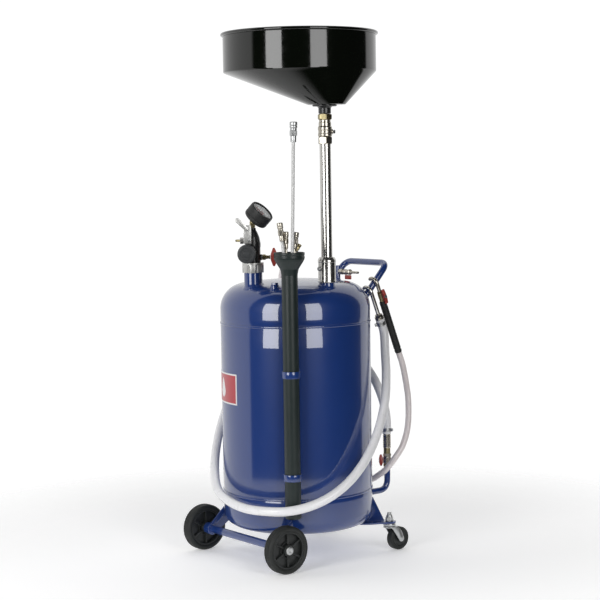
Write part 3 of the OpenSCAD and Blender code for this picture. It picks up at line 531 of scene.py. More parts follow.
delivery_route = [
    (242, -91, 308), (242, -91, 345), (239, -86, 385), (230, -75, 430), (223, -52, 470),
    (221, -8, 502), (210, 72, 517), (170, 143, 518), (107, 195, 512), (22, 222, 480),
    (-60, 214, 420), (-118, 190, 345), (-160, 160, 275), (-200, 108, 223), (-232, 45, 189),
    (-244, -25, 172), (-239, -90, 163), (-217, -146, 161), (-182, -193, 163), (-132, -226, 175),
    (-75, -243, 197), (-15, -248, 232), (45, -241, 282), (105, -218, 345), (160, -182, 415),
    (195, -147, 480), (214, -121, 540), on_hook(SPOUT_X, SPOUT_END - 40), on_hook(SPOUT_X, SPOUT_END),
]
suction_route = [
    on_hook(GUN_X, GRIP_LOW), on_hook(GUN_X, GRIP_LOW - 40),
    (301, -107, 445), (304, -112, 395), (293, -122, 330), (268, -130, 280), (245, -128, 250),
    (230, -120, 228), (221, -107, 210), (216, -88, 196), (213, -60, 180), (215, -10, 166),
    (210, 50, 163), (190, 108, 163), (155, 158, 170), (126, 186, 200), (116, 205, 250),
    (125, 226, 430), (133, 243, 620), (135, 247, 694),
    ELBOW @ Vector((123, 0, 720)), ELBOW @ Vector((108, 0, 742)), ELBOW @ Vector((86, 0, 757)),
    ELBOW @ Vector((60, 0, ELBOW_Z)), ELBOW @ Vector((36, 0, ELBOW_Z)),
]
cord("delivery_hose_tube", "delivery_hose", delivery_route, 12, WHITE_HOSE)
cord("suction_hose_tube", "suction_hose", suction_route, 8.5, CLEAR_HOSE)

# ---- tank ----

tank = Piece("tank_shell", nodes=("tank_barrel", "tank_top_head", "tank_bottom_head"), slot="tank_blue")
outline = [(0, FLOOR_Z), (80, FLOOR_Z), (150, FLOOR_Z)]
outline += arc(TANK_R - BOTTOM_R, FLOOR_Z + BOTTOM_R, BOTTOM_R, -90, 0, 20)
outline += [(TANK_R, LOW_SEAM - 14), (TANK_R, LOW_SEAM - 4), (TANK_R - 0.9, LOW_SEAM - 2),
            (TANK_R - 0.9, LOW_SEAM + 2), (TANK_R, LOW_SEAM + 4)]
outline += [(TANK_R, LOW_SEAM + 4 + k * (TOP_SEAM - LOW_SEAM - 8) / 8) for k in range(1, 8)]
outline += [(TANK_R, TOP_SEAM - 4), (TANK_R - 0.9, TOP_SEAM - 2), (TANK_R - 0.9, TOP_SEAM + 2),
            (TANK_R, TOP_SEAM + 4), (TANK_R, TOP_SEAM + 18)]
outline += arc(TANK_R - SHOULDER_R, SHOULDER_Z, SHOULDER_R, 0, 82, 28)
edge_r = CROWN_R * math.sin(CROWN)
outline += [(edge_r * (1 - k / 8), top_z(edge_r * (1 - k / 8))) for k in range(1, 9)]
tank.lathe(outline, ENAMEL, steps=160)
for seam in (LOW_SEAM, TOP_SEAM):
    count = 640
    bead = []
    for j in range(9):
        slope = (j - 4) / 4
        ring = []
        for k in range(count):
            a = 2 * math.pi * k / count
            wave = 0.12 * math.cos(k * math.pi / 2 + abs(slope) * 1.2) + 0.05 * math.sin(9 * a)
            r = TANK_R - 1.0 + (2.5 + wave) * math.sqrt(max(1 - slope ** 2, 0))
            ring.append(Vector((r * math.cos(a), r * math.sin(a), seam + slope * 3.4)))
        bead.append(ring)
    tank.rings(bead, ENAMEL, closed=True)
tank.done()

MAST_X, MAST_Y, LOCK_Z, VALVE_Z = -5, -148, 780, 1138
PUMP_X, PUMP_Y, PORT_Z, GAUGE_Z = -145, -10, 811, 903
RISER_X, INLET_Z = 150, 759
PLUG_X, PLUG_Y = -133, -89
fittings = Piece("tank_fittings", nodes=("tank_bosses",), slot="tank_blue")
mast_at = move(MAST_X, MAST_Y)
fittings.lathe([(15.6, 722), (19.5, 722), (19.5, 743), (15.6, 743)], ENAMEL, mast_at, 64, True, 0.8)
fittings.weld(mast_at, 19.5, ENAMEL, 4.5, 760)
neck_at = move(PUMP_X, PUMP_Y)
fittings.lathe([(20, 722), (24.25, 722), (24.25, 771), (20, 771)], ENAMEL, neck_at, 64, True, 0.8)
fittings.weld(neck_at, 24.25, ENAMEL, 5, 780)
riser_at = move(RISER_X, 0)
fittings.rod(6.5, 715, 776, ENAMEL, riser_at, 32, 1.4)
fittings.weld(riser_at, 6.5, ENAMEL, 3.5, 780)
fittings.rod(5.5, 3, 9, ENAMEL, move(RISER_X, 0, INLET_Z) @ turn(90, "X"), 28, 0.4)
for x, y, z in ((ELBOW_X, ELBOW_Y, 747), (PLUG_X, PLUG_Y, 740)):
    fittings.rod(11, 715, z, ENAMEL, move(x, y), 40, 0.8)
    fittings.weld(move(x, y), 11, ENAMEL, 3.5, 770)
fittings.done()

plug = Piece("filler_plug_hex", nodes=("filler_plug",), slot="tank_blue")
plug.nut(17, 741, 747, ENAMEL, move(PLUG_X, PLUG_Y))
plug.ring(10.5, 3, 740.1, 741.6, ENAMEL, move(PLUG_X, PLUG_Y), 40, 0.5)
plug.done()

OUTLET_X, OUTLET_Y, OUTLET_Z = 242, -91, 152
pipe = Piece("outlet_pipe_bent", nodes=("outlet_pipe",), slot="tank_blue")
pipe.tube([(172, OUTLET_Y, OUTLET_Z), (OUTLET_X, OUTLET_Y, OUTLET_Z), (OUTLET_X, OUTLET_Y, 215.9)], 8.5,
          ENAMEL, bend=34, steps=12, sides=28)
pipe.weld(move(0, OUTLET_Y, OUTLET_Z) @ turn(90, "Y"), 8.5, ENAMEL, 4, 230)
pipe.done()

handle = Piece("push_handle_tube", nodes=("push_handle",), slot="tank_blue")
length = math.hypot(HANDLE_X - LEG_FOOT_X, HANDLE_Z - LEG_FOOT_Z)
tilt = math.degrees(math.atan2(HANDLE_X - LEG_FOOT_X, HANDLE_Z - LEG_FOOT_Z))
leg = move(LEG_FOOT_X, 0, LEG_FOOT_Z) @ turn(tilt, "Y")
handle.tube([(0, -HANDLE_Y, -6), (0, -HANDLE_Y, length), (0, HANDLE_Y, length), (0, HANDLE_Y, -6)], 9,
            ENAMEL, leg, bend=29, steps=14, sides=32)
for y in (-HANDLE_Y, HANDLE_Y):
    handle.weld(leg @ move(0, y), 9, ENAMEL, 4, 50)
handle.done()

softened("rear_hose_hook", "tank", "tank_blue", 0.9)
softened("holder_straps", "tank", "tank_blue", 0.7)
softened("caster_brackets", "tank", "tank_blue", 1.0)

# ---- name panel: a white border and a plain drop, with no lettering ----

panel = Piece("name_panel_print", nodes=("name_panel",), slot="panel_red")
PANEL_R, PANEL_FROM, PANEL_SWEEP, PANEL_Z, PANEL_H = TANK_R + 0.8, 137, 45, 421, 82
DROP_R, DROP_H = 17, 36
across = math.radians(PANEL_SWEEP) * PANEL_R
columns, rows = 150, 82
grid = []
for j in range(rows + 1):
    ring = []
    for i in range(columns + 1):
        a = math.radians(PANEL_FROM + PANEL_SWEEP * i / columns)
        p = Vector((PANEL_R * math.cos(a), PANEL_R * math.sin(a), PANEL_Z + PANEL_H * j / rows))
        ring.append(panel.mesh.verts.new(PLACE @ p))
    grid.append(ring)


def in_drop(u, v):
    """A plain drop: a circle below and a point above."""
    if v < 0:
        return math.hypot(u, v) < DROP_R
    return v < DROP_H and abs(u) < DROP_R * (1 - v / DROP_H) ** 0.8 * (1 + 0.25 * v / DROP_H)


red_index, white_index = panel.paint(PANEL_RED), panel.paint(PANEL_WHITE)
for j in range(rows):
    for i in range(columns):
        f = panel.mesh.faces.new((grid[j][i], grid[j][i + 1], grid[j + 1][i + 1], grid[j + 1][i]))
        u, v = (i + 0.5) * across / columns, (j + 0.5) * PANEL_H / rows
        border = min(u, v, across - u, PANEL_H - v) < 4
        white = border or in_drop(u - across / 2, v - PANEL_H * 0.4)
        f.material_index = white_index if white else red_index
        f.smooth = True
edge_loop = [grid[0][i] for i in range(columns + 1)] + [grid[j][columns] for j in range(1, rows + 1)]
edge_loop += [grid[rows][i] for i in range(columns - 1, -1, -1)]
edge_loop += [grid[j][0] for j in range(rows - 1, 0, -1)]
inner_loop = []
for v in edge_loop:
    flat = PLACE.inverted() @ v.co
    pull = (TANK_R - 0.2) / math.hypot(flat.x, flat.y)
    inner_loop.append(panel.mesh.verts.new(PLACE @ Vector((flat.x * pull, flat.y * pull, flat.z))))
for k in range(len(edge_loop)):
    n = (k + 1) % len(edge_loop)
    f = panel.mesh.faces.new((edge_loop[k], inner_loop[k], inner_loop[n], edge_loop[n]))
    f.material_index = white_index
panel.done()

# ---- fixed wheels ----

AXLE_X, AXLE_Z = -184, 62.5


def mirror(side):
    return Matrix.Scale(side, 4, Vector((0, 0, 1)))


AXLE = move(AXLE_X, 0, AXLE_Z) @ turn(90, "X")
carrier = Piece("axle_carrier_welded", nodes=("axle_carrier",), slot="tank_blue")
carrier.ring(10.5, 8.1, -171, 171, ENAMEL, AXLE, 40, 0.6)
for side in (1, -1):
    outer = AXLE @ mirror(side)
    carrier.ring(16, 8.1, 146, 170, ENAMEL, outer, 48, 1.6)
    outline = arc(AXLE_X, AXLE_Z, 15, 120, 300, 14) + [(-120, 84), (-120, 142)]
    carrier.prism(outline, -2, 2, ENAMEL, move(0, side * 150) @ turn(90, "X"), 0.9)
    carrier.tube([(-172, side * 146, 78), (-150, side * 146, 97), (-140, side * 146, 108)], 2.2, ENAMEL,
                 edge=1.5, sides=10)
carrier.done()

caps = Piece("hub_caps_pressed", nodes=("hub_caps",), slot="zinc")
for side in (1, -1):
    outer = AXLE @ mirror(side)
    caps.lathe([(0, 204), (11, 204), (11.2, 204.8), (9.8, 206.4), (7.5, 207), (4, 207), (3, 206.4),
                (0, 206.4)],
               ZINC, outer, 48, round_by=0.5)
caps.done()

for name, side in (("left", 1), ("right", -1)):
    at = AXLE @ mirror(side) @ move(0, 0, 188)
    tyre = Piece("tyre_" + name + "_treaded", "front_wheel_" + name, ("tyre_" + name,), "tyre")
    outline = [(49, -12), (53, -15)] + arc(55.5, -8, 7, -90, -8, 8)
    outline += [(62.5, -6.4), (61.2, -6.0), (61.2, -5.0), (62.5, -4.6), (62.5, -0.7), (61.2, -0.4),
                (61.2, 0.4), (62.5, 0.7), (62.5, 4.6), (61.2, 5.0), (61.2, 6.0), (62.5, 6.4)]
    outline += arc(55.5, 8, 7, 8, 90, 8) + [(53, 15), (49, 12)]
    tyre.lathe(outline, RUBBER, at, 96, closed=True)
    tyre.done()
    wheel = Piece("rim_" + name + "_spoked", "front_wheel_" + name, ("rim_" + name,), "rim_plastic")
    wheel.ring(48.9, 44.5, -12, 12, RIM, at, 96, 1.0)
    wheel.ring(15, 8.06, -15, 15, RIM, at, 48, 1.2)
    wheel.ring(46, 14, -2, 2, RIM, at, 96, 0.5)
    for k in range(6):
        rib = at @ turn(k * 60 + 30, "Z")
        wheel.box(13.5, 46, -2.5, 2.5, -9, 9, RIM, rib, 0.9)
    wheel.ring(22, 19.5, -6, 6, RIM, at, 64, 0.6)
    wheel.done()

# ---- casters ----

CASTER_X, CASTER_Y, TRAIL = 187, 163, 29
for name, side in (("left", -1), ("right", 1)):
    at = move(CASTER_X + TRAIL, side * CASTER_Y, 31.5) @ turn(90, "X")
    wheel = Piece("caster_wheel_" + name + "_turned", "caster_" + name, ("caster_wheel_" + name,), "tyre")
    outline = [(21.3, -10.6)] + arc(27.5, -7, 4, -90, 0, 6) + [(31.5, 0)]
    outline += arc(27.5, 7, 4, 0, 90, 6) + [(21.3, 10.6)]
    wheel.lathe(outline, RUBBER, at, 72, closed=True)
    wheel.lathe([(8.5, -8), (19, -8), (21.2, -10.4), (21.2, 10.4), (19, 8), (8.5, 8)], RIM, at, 72, True,
                0.6)
    wheel.ring(9, 3.06, -12.4, 12.4, RIM, at, 40, 0.8)
    wheel.done()
    softened("caster_fork_" + name, "fork_" + name, "zinc", 0.6)

stems = Piece("caster_stems_bolted", nodes=("caster_stems",), slot="zinc")
for side in (-1, 1):
    at = move(CASTER_X, side * CASTER_Y)
    stems.rod(5.8, 63.2, 106, ZINC, at, 32, 1.0)
    stems.nut(19, 82.2, 93, ZINC, at @ turn(12, "Z"))
    stems.lathe([(6, 93), (9, 93), (9, 94.5), (7.5, 99), (6, 100)], ZINC, at, 40, True, 0.4)
    stems.ring(11, 6, 82.05, 83.4, ZINC, at, 40, 0.4)
    stems.lathe([(6.2, 68), (14, 68), (17, 70), (17.2, 74), (15.5, 77), (13, 78), (6.2, 78)], ZINC, at,
                56, True, 0.8)
stems.done()

# ---- mast ----

sleeve = Piece("mast_sleeve_turned", nodes=("mast_sleeve",), slot="satin_steel")
sleeve.lathe([(15.65, 743.1), (23.4, 743.1), (24.2, 744.5), (24.2, 748), (23.4, 749), (23.4, 796),
              (24, 797), (24, 803), (20, 809.8), (18.1, 810), (18.1, 797.8), (15.65, 797.8)], CHROME,
             mast_at, 72, True, 0.7)
sleeve.nut(14, 0, 1.2, SATIN, move(MAST_X, MAST_Y, LOCK_Z) @ turn(-90, "Y") @ move(0, 0, 22.2))
sleeve.done()
screw = Piece("mast_lock_screw_hex", "lock_screw", ("mast_lock_screw",), "zinc")
screw_at = move(MAST_X, MAST_Y, LOCK_Z) @ turn(-90, "Y")
screw.rod(3, 15.5, 24, ZINC, screw_at, 24, 0.3)
screw.nut(10, 23.5, 29, ZINC, screw_at)
screw.done()

mast = Piece("mast_tube_polished", "mast", ("mast_tube",), "bright_steel")
mast.ring(15, 12.5, 640, 1118, CHROME, mast_at, 96, 0.8)
mast.done()

valve = Piece("bowl_valve_plated", "mast", ("bowl_valve",), "nickel")
valve.lathe([(15.1, 1106), (17.2, 1106), (17.2, 1107), (15.1, 1107)], NICKEL, mast_at, 64, True)
valve.nut(34, 1106.2, 1125, NICKEL, mast_at)
valve.lathe([(0, 1125), (16, 1125), (18.5, 1127), (18.5, 1133), (17.6, 1134), (17.6, 1142), (18.5, 1143),
             (18.5, 1150), (17, 1152), (16.5, 1153), (16.5, 1162), (15.2, 1163), (15.2, 1169), (0, 1169)],
            NICKEL, mast_at, 72, round_by=0.7)
valve.rod(6.5, 14, 21, NICKEL, mast_at @ move(0, 0, VALVE_Z) @ turn(SIDE, "Z") @ turn(90, "Y"), 32, 0.6)
valve.done()

lever = Piece("bowl_valve_lever_bent", "bowl_valve_lever", ("bowl_valve_lever",), "black_metal")
lever_at = mast_at @ move(0, 0, VALVE_Z) @ turn(SIDE, "Z")
lever.rod(3, 21.2, 26, BLACK_METAL, lever_at @ turn(90, "Y"), 24, 0.4)
lever.box(23, 27, -6, 40, -4.5, 4.5, BLACK_METAL, lever_at, 1.0, 1.6)
lever.done()

nut = Piece("swivel_nut_brass", "mast", ("swivel_nut",), "brass")
nut.nut(33, 1169.2, 1184.3, BRASS, mast_at @ turn(9, "Z"))
nut.done()

spout = Piece("bowl_spout_turned", "bowl", ("bowl_spout",), "black_metal")
spout.lathe([(0, 1185.1), (15.3, 1185.1), (16.5, 1186.2), (16.5, 1200), (20, 1203.4), (31, 1204),
             (32, 1205), (32, 1207.8), (0, 1207.8)],
            BLACK_METAL, mast_at, 72, round_by=0.6)
spout.done()

# ---- bowl ----

BOWL_X = 15
BOWL_Y = MAST_Y + math.sqrt(133 ** 2 - (BOWL_X - MAST_X) ** 2)
FOOT_X, FOOT_Y, FOOT_R = 0, -151, 48.5
BOWL_Z, CREASE_Z, BOWL_TOP = 1208, 1301, 1406
BOWL_R, LIP_R, ROLL = 205, 211, 4.5
bowl = Piece("drain_bowl_enamelled", "bowl", ("bowl",), "bowl_black")


def hoop(x, y, z, r, steps=160):
    angles = [2 * math.pi * k / steps for k in range(steps)]
    return [Vector((x + r * math.cos(a), y + r * math.sin(a), z)) for a in angles]


def cone_hoop(t, inset, lift):
    """A hoop on the sloping part, t from 0 at the foot to 1 at the crease."""
    x, y = FOOT_X + (BOWL_X - FOOT_X) * t, FOOT_Y + (BOWL_Y - FOOT_Y) * t
    return hoop(x, y, BOWL_Z + lift + (CREASE_Z - BOWL_Z) * t, FOOT_R + (BOWL_R - FOOT_R) * t - inset)


hoops = [[Vector((FOOT_X, FOOT_Y, BOWL_Z))], hoop(FOOT_X, FOOT_Y, BOWL_Z, FOOT_R - 3)]
hoops += [cone_hoop(0.004, 0.2, 0), cone_hoop(0.02, 0, 0)]
hoops += [cone_hoop(t, 0, 0) for t in (0.15, 0.3, 0.45, 0.6, 0.75, 0.9, 0.97)]
hoops += [cone_hoop(0.985, -0.5, 0.4), hoop(BOWL_X, BOWL_Y, CREASE_Z + 0.4, BOWL_R - 0.5)]
hoops += [hoop(BOWL_X, BOWL_Y, z, BOWL_R) for z in (CREASE_Z + 2.2, CREASE_Z + 5, 1330, 1355, 1380, 1392)]
roll_z = BOWL_TOP - ROLL
hoops += [hoop(BOWL_X, BOWL_Y, z, r) for r, z in arc(LIP_R - ROLL, roll_z, ROLL, -115, 170, 16)]
levels = (1394, 1375, 1350, 1325, CREASE_Z + 6, CREASE_Z + 3)
hoops += [hoop(BOWL_X, BOWL_Y, z, BOWL_R - 3) for z in levels]
hoops += [cone_hoop(t, 3, 2) for t in (0.98, 0.9, 0.75, 0.6, 0.45, 0.3, 0.15, 0.02)]
hoops += [hoop(FOOT_X, FOOT_Y, BOWL_Z + 2, FOOT_R - 5), [Vector((FOOT_X, FOOT_Y, BOWL_Z + 2))]]
bowl.rings(hoops, BOWL)
bowl.done()

# ---- vacuum head ----

PUMP = move(PUMP_X, PUMP_Y) @ turn(SIDE, "Z")
softened("union_ring", "tank", "bright_steel", 0.7, finish=BRIGHT_SATIN)
head = Piece("pump_body_cast", nodes=("pump_body",), slot="black_metal")
head.lathe([(0, 797.1), (19, 797.1), (21, 799), (21, 806), (20.2, 807), (20.2, 838), (21, 839), (21, 848),
            (18, 864), (13, 877), (9, 884), (9, 889), (0, 889)], BLACK_METAL, PUMP, 64, round_by=1.2)
head.rod(10, 4, 23.9, BLACK_METAL, PUMP @ move(-13, 0, 822) @ turn(90, "X"), 36, 0.6)
head.box(-14, -6, -25.9, -8, 856, 872, BLACK_METAL, PUMP, 1.0)
head.rod(8, 12, 23.9, BLACK_METAL, PUMP @ move(0, 0, PORT_Z) @ turn(90, "Y"), 36, 0.6)
head.done()

SILENCER = PUMP @ move(-16, -24, 822) @ turn(90, "X")
quiet = Piece("silencer_ribbed", nodes=("silencer",), slot="black_plastic")
outline = [(0, 0.1), (22, 0.1), (24.2, 2.5)]
for k in range(6):
    z = 5 + k * 4.6
    outline += [(24.4, z), (24.4, z + 2.4), (23.2, z + 2.9), (23.2, z + 4.1)]
outline += [(24.4, 33), (23.4, 36.5), (20, 38), (17, 38), (16.2, 36.8), (9, 36.8), (8.4, 37.8), (0, 37.8)]
quiet.lathe(outline, GREY_PLASTIC, SILENCER, 72, round_by=0.7)
for k in range(12):
    quiet.box(10, 15.4, -1, 1, 36.4, 37.8, GREY_PLASTIC, SILENCER @ turn(k * 30, "Z"), 0.3, 0.4)
quiet.done()

air = Piece("pump_air_valve_block", nodes=("pump_air_valve",), slot="satin_steel")
air.box(-24, -3, -44, -26, 849, 897, BRIGHT_SATIN, PUMP, 1.2, 2.0)
nipple = PUMP @ move(-24, -35, 857) @ turn(-90, "Y")
air.nut(15, 0.1, 9, SATIN, nipple)
air.lathe([(0, 9), (3.5, 9), (2.9, 11), (3.5, 12), (2.9, 14.5), (3.5, 15.5), (2.9, 18), (3.5, 19),
           (2.4, 21), (0, 21)], BRASS, nipple, 28)
air.rod(5.5, 0, 3, SATIN, PUMP @ move(-16, -44, 888) @ turn(90, "X"), 32, 0.5)
air.rod(4, 0, 3, ZINC, PUMP @ move(-9, -44, 857) @ turn(90, "X"), 24, 0.6)
air.done()

trigger = Piece("pump_lever_pressed", "pump_lever", ("pump_lever",), "bright_steel")
trigger_at = PUMP @ move(-16, 0, 888) @ turn(90, "X")
trigger.rod(3, 47.2, 50.5, BRIGHT_SATIN, trigger_at, 28, 0.6)
trigger.prism(arc(0, 0, 5.5, 90, 270, 10) + arc(32, 0, 6.5, -80, 80, 10), 0, 3.5, BRIGHT_SATIN,
              trigger_at @ turn(135, "Z") @ move(0, 0, 44.5 + 3), 0.6)
trigger.done()

suction_valve = Piece("vacuum_valve_brass", nodes=("vacuum_valve",), slot="brass")
port = PUMP @ move(0, 0, PORT_Z) @ turn(90, "Y")
suction_valve.nut(13, 24.1, 34, BRASS, port)
suction_valve.lathe([(0, 34), (5, 34), (5, 38), (4.2, 39), (4.2, 41), (5, 42), (5, 46), (0, 46)], BRASS,
                    port, 32)
suction_valve.done()


def wing(piece, finish, at, half_length, hub, tip, depth, thick):
    """A wing knob with a narrow foot, wide shoulders and a small stud on top."""
    low_z, high_z = depth / 2 - tip, depth / 2 + tip
    outline = [(-7, 0), (7, 0), (half_length, low_z), (half_length, high_z), (hub, depth), (-hub, depth),
               (-half_length, high_z), (-half_length, low_z)]
    outline = rounded(outline, 3, closed=True)
    piece.prism(outline, -thick / 2, thick / 2, finish, at @ turn(90, "X"), 1.4)
    piece.rod(4.4, depth - 0.6, depth + 0.5, ZINC, at, 24, 0.3)


tap = Piece("vacuum_valve_wing", "vacuum_valve_handle", ("vacuum_valve_handle",), "red_plastic")
wing(tap, RED, port @ move(0, 0, 46.5), 24.5, 8, 2.5, 18, 11)
tap.done()

GAUGE = PUMP @ move(0, 0, GAUGE_Z) @ turn(-28, "Z") @ turn(45, "Y")
boot = Piece("gauge_boot", nodes=("gauge_case",), slot="rubber")
boot.nut(13, 889.1, 901, BRASS, PUMP)
BALL_R = 7.5
ball = [math.pi * k / 12 for k in range(1, 12)]
outline = [(0, -BALL_R)] + [(BALL_R * math.sin(a), -BALL_R * math.cos(a)) for a in ball] + [(0, BALL_R)]
boot.lathe(outline, BRASS, PUMP @ move(0, 0, GAUGE_Z), 32)
boot.rod(5.5, 0, 11, BRASS, GAUGE, 28, 0.4)
boot.lathe([(0, 10), (28, 10), (33, 12), (34, 16), (34, 20), (32.8, 21), (32.8, 23), (34, 24), (34, 41),
            (33, 45), (30.5, 46), (29.4, 45.4), (28.8, 44.5), (28.8, 43.2), (29.8, 42.6), (29.8, 37),
            (0, 37)], SOFT_RUBBER, GAUGE, 72, round_by=0.8)
boot.done()
dial = Piece("gauge_dial_printed", nodes=("gauge_dial",), slot="dial_white")
dial.ring(29.6, 1.6, 37.1, 39, DIAL, GAUGE, 64, 0.2)
for k in range(31):
    tick = GAUGE @ turn(200 - 270 * k / 30, "Z")
    start, half = (21, 0.5) if k % 5 == 0 else (23, 0.25)
    dial.box(start, 26, -half, half, 39.02, 39.12, INK, tick, 0.02, 0.05)
dial.done()
needle = Piece("gauge_needle", "gauge_pointer", ("gauge_pointer",), "red_plastic")
needle.rod(3.5, 39.5, 41, RED, GAUGE, 28, 0.4)
needle.prism([(-7, -1.6), (22, -0.5), (22, 0.5), (-7, 1.6)], 39.5, 40.5, RED, GAUGE @ turn(200, "Z"), 0.2)
needle.done()
lens = Piece("gauge_lens_domed", nodes=("gauge_lens",), slot="clear_lens")
lens.lathe([(0, 42.2), (28.2, 42.2), (28.5, 42.5), (28.5, 43), (20, 43.8), (10, 44.3), (0, 44.5)], GLASS,
           GAUGE, 64)
lens.done()

# ---- small fittings ----

INLET = move(RISER_X, 0, INLET_Z) @ turn(90, "X")
inlet = Piece("air_inlet_brass", nodes=("air_inlet",), slot="brass")
inlet.nut(15, 9.1, 24, NICKEL, INLET)
inlet.lathe([(0, 24), (6, 24), (6, 31), (8, 32.5), (8, 36), (7.2, 37), (7.2, 50), (8, 51), (8, 53),
             (5, 54), (5, 59), (3.5, 60), (3.5, 74), (2.9, 75.5), (2.9, 78.5), (3.5, 80), (3.5, 86),
             (2.6, 89), (0, 89)], NICKEL, INLET, 32, round_by=0.4)
inlet.done()
inlet_tap = Piece("air_inlet_tab", "air_inlet_handle", ("air_inlet_handle",), "red_plastic")
inlet_tap.box(-3, 3, -12, 12, 739, 750.5, RED, move(RISER_X, -44), 1.4, 2.0)
inlet_tap.done()

elbow = Piece("suction_elbow_barbed", nodes=("suction_elbow",), slot="nickel")
elbow.nut(19, 747.1, 752, NICKEL, ELBOW)
elbow.tube([(0, 0, 752), (0, 0, 762), (37.5, 0, 762)], 7.4, NICKEL, ELBOW, bend=9, sides=28)
band = ELBOW @ move(44, 0, 762) @ turn(90, "Y")
elbow.ring(9.6, 8.62, 0, 8, ZINC, band, 48, 0.3)
elbow.box(8.9, 14, -3.5, 3.5, 1, 7, ZINC, band @ turn(180, "Z"), 0.5)
elbow.done()

OUTLET = move(OUTLET_X, OUTLET_Y)
outlet = Piece("outlet_valve_brass", nodes=("outlet_valve",), slot="brass")
outlet.nut(20, 216.1, 224, BRASS, OUTLET)
outlet.lathe([(0, 224), (10, 224), (11, 226), (11, 243), (10, 245), (0, 245)], NICKEL, OUTLET, 48,
             round_by=0.6)
outlet.nut(20, 245.1, 253, NICKEL, OUTLET @ turn(15, "Z"))
outlet.lathe([(0, 253), (9.5, 253), (9.5, 268), (0, 268)], BRASS, OUTLET, 40, round_by=0.5)
outline = [(0, 268.1), (10, 268.1)]
for k in range(6):
    outline += [(11, 270 + k * 6), (11, 273.5 + k * 6), (10.2, 274.5 + k * 6), (10.2, 275.5 + k * 6)]
outline += [(10.6, 307.8), (0, 307.8)]
outlet.lathe(outline, NICKEL, OUTLET, 48)
outlet.ring(13.1, 12.12, 314, 324, ZINC, OUTLET, 56, 0.3)
outlet.box(12.4, 18, -4, 4, 315, 323, ZINC, OUTLET @ turn(-60, "Z"), 0.5)
outlet.done()
discharge = Piece("outlet_valve_wing", "outlet_valve_handle", ("outlet_valve_handle",), "red_plastic")
stem = OUTLET @ move(0, 0, 234) @ turn(SIDE, "Z") @ turn(-90, "Y") @ move(0, 0, 11.5)
wing(discharge, RED, stem, 16, 6, 2.5, 11, 8)
discharge.done()


def gooseneck(piece, at, straight, finish):
    """A bar that goes up from straight below the bend and curls over the handle's leg."""
    angles = [math.radians(125 * k / 20) for k in range(1, 21)]
    curl = [(0, -HOOK_BEND * math.cos(a), HOOK_BEND * math.sin(a)) for a in angles]
    piece.tube([(0, -HOOK_BEND, -straight), (0, -HOOK_BEND, 0)] + curl, 5.5, finish, at, sides=24)


nozzle = Piece("delivery_spout_bent", nodes=("delivery_spout",), slot="nickel")
nozzle_at = at_hook(SPOUT_X)
gooseneck(nozzle, nozzle_at, 64, CHROME)
foot = nozzle_at @ move(0, -HOOK_BEND, -78)
nozzle.nut(19, 8, 14, NICKEL, foot)
nozzle.rod(12.5, 0.1, 8, NICKEL, foot, 48, 1.0)
nozzle.ring(13.2, 12.12, -18, -8, ZINC, foot, 56, 0.3)
nozzle.box(12.4, 18, -4, 4, -17, -9, ZINC, foot @ turn(150, "Z"), 0.5)
nozzle.done()

gun_at = at_hook(GUN_X)
gun = Piece("suction_gun_bent", nodes=("suction_gun",), slot="nickel")
gooseneck(gun, gun_at, 22, NICKEL)
shaft = gun_at @ move(0, -HOOK_BEND)
gun.lathe([(0, -50), (8, -50), (8, -46), (7, -45), (8, -43), (8, -29), (7, -27), (7, -25), (6, -22),
           (0, -22)], BRASS, shaft, 40, round_by=0.5)
gun.nut(15, -28, -22, BRASS, shaft)
gun.done()
grip = Piece("gun_grip_moulded", nodes=("gun_grip",), slot="rubber")
outline = [(0, -206), (8.6, -206), (10, -203)]
outline += [(10, -198), (9, -197), (9, -194), (10, -193)]
for k in range(22):
    z = -188 + k * 5.6
    outline += [(10, z), (10, z + 3.2), (9.3, z + 3.8), (9.3, z + 5.0)]
outline += [(10, -62), (10, -54), (8.2, -50.1), (0, -50.1)]
grip.lathe(outline, SOFT_RUBBER, shaft, 48, round_by=0.4)
grip.done()
gun_tap = Piece("gun_lever_wing", "gun_lever", ("gun_lever",), "red_plastic")
stem = gun_at @ move(0, -HOOK_BEND, -36) @ turn(90, "X") @ move(0, 0, 10.5) @ turn(90, "Z")
wing(gun_tap, RED, stem, 21, 6, 2.5, 10, 9)
gun_tap.done()

# ---- probe holder and probes ----

HOLDER_AT = move(-148, -174)
BEND_Z = 800
sheath = Piece("probe_holder_moulded", nodes=("probe_holder",), slot="holder_plastic")
outline = [(0, 137), (19, 137), (21, 139.5), (21, 150), (20.6, 151), (20.6, 154), (21, 155), (21, 770),
           (22, 776), (24, 786), (36, 805), (39, 811), (40, 815), (40, 818), (39.2, 819), (39.2, 822),
           (40, 823), (40, 828), (39, 829), (38, 829), (37.5, 827.5), (37.5, 816), (34, 807), (22, 788),
           (18.5, 776), (18.5, 141), (0, 141)]
sheath.lathe(outline, HOLDER, HOLDER_AT, 72, round_by=0.9)
sheath.done()


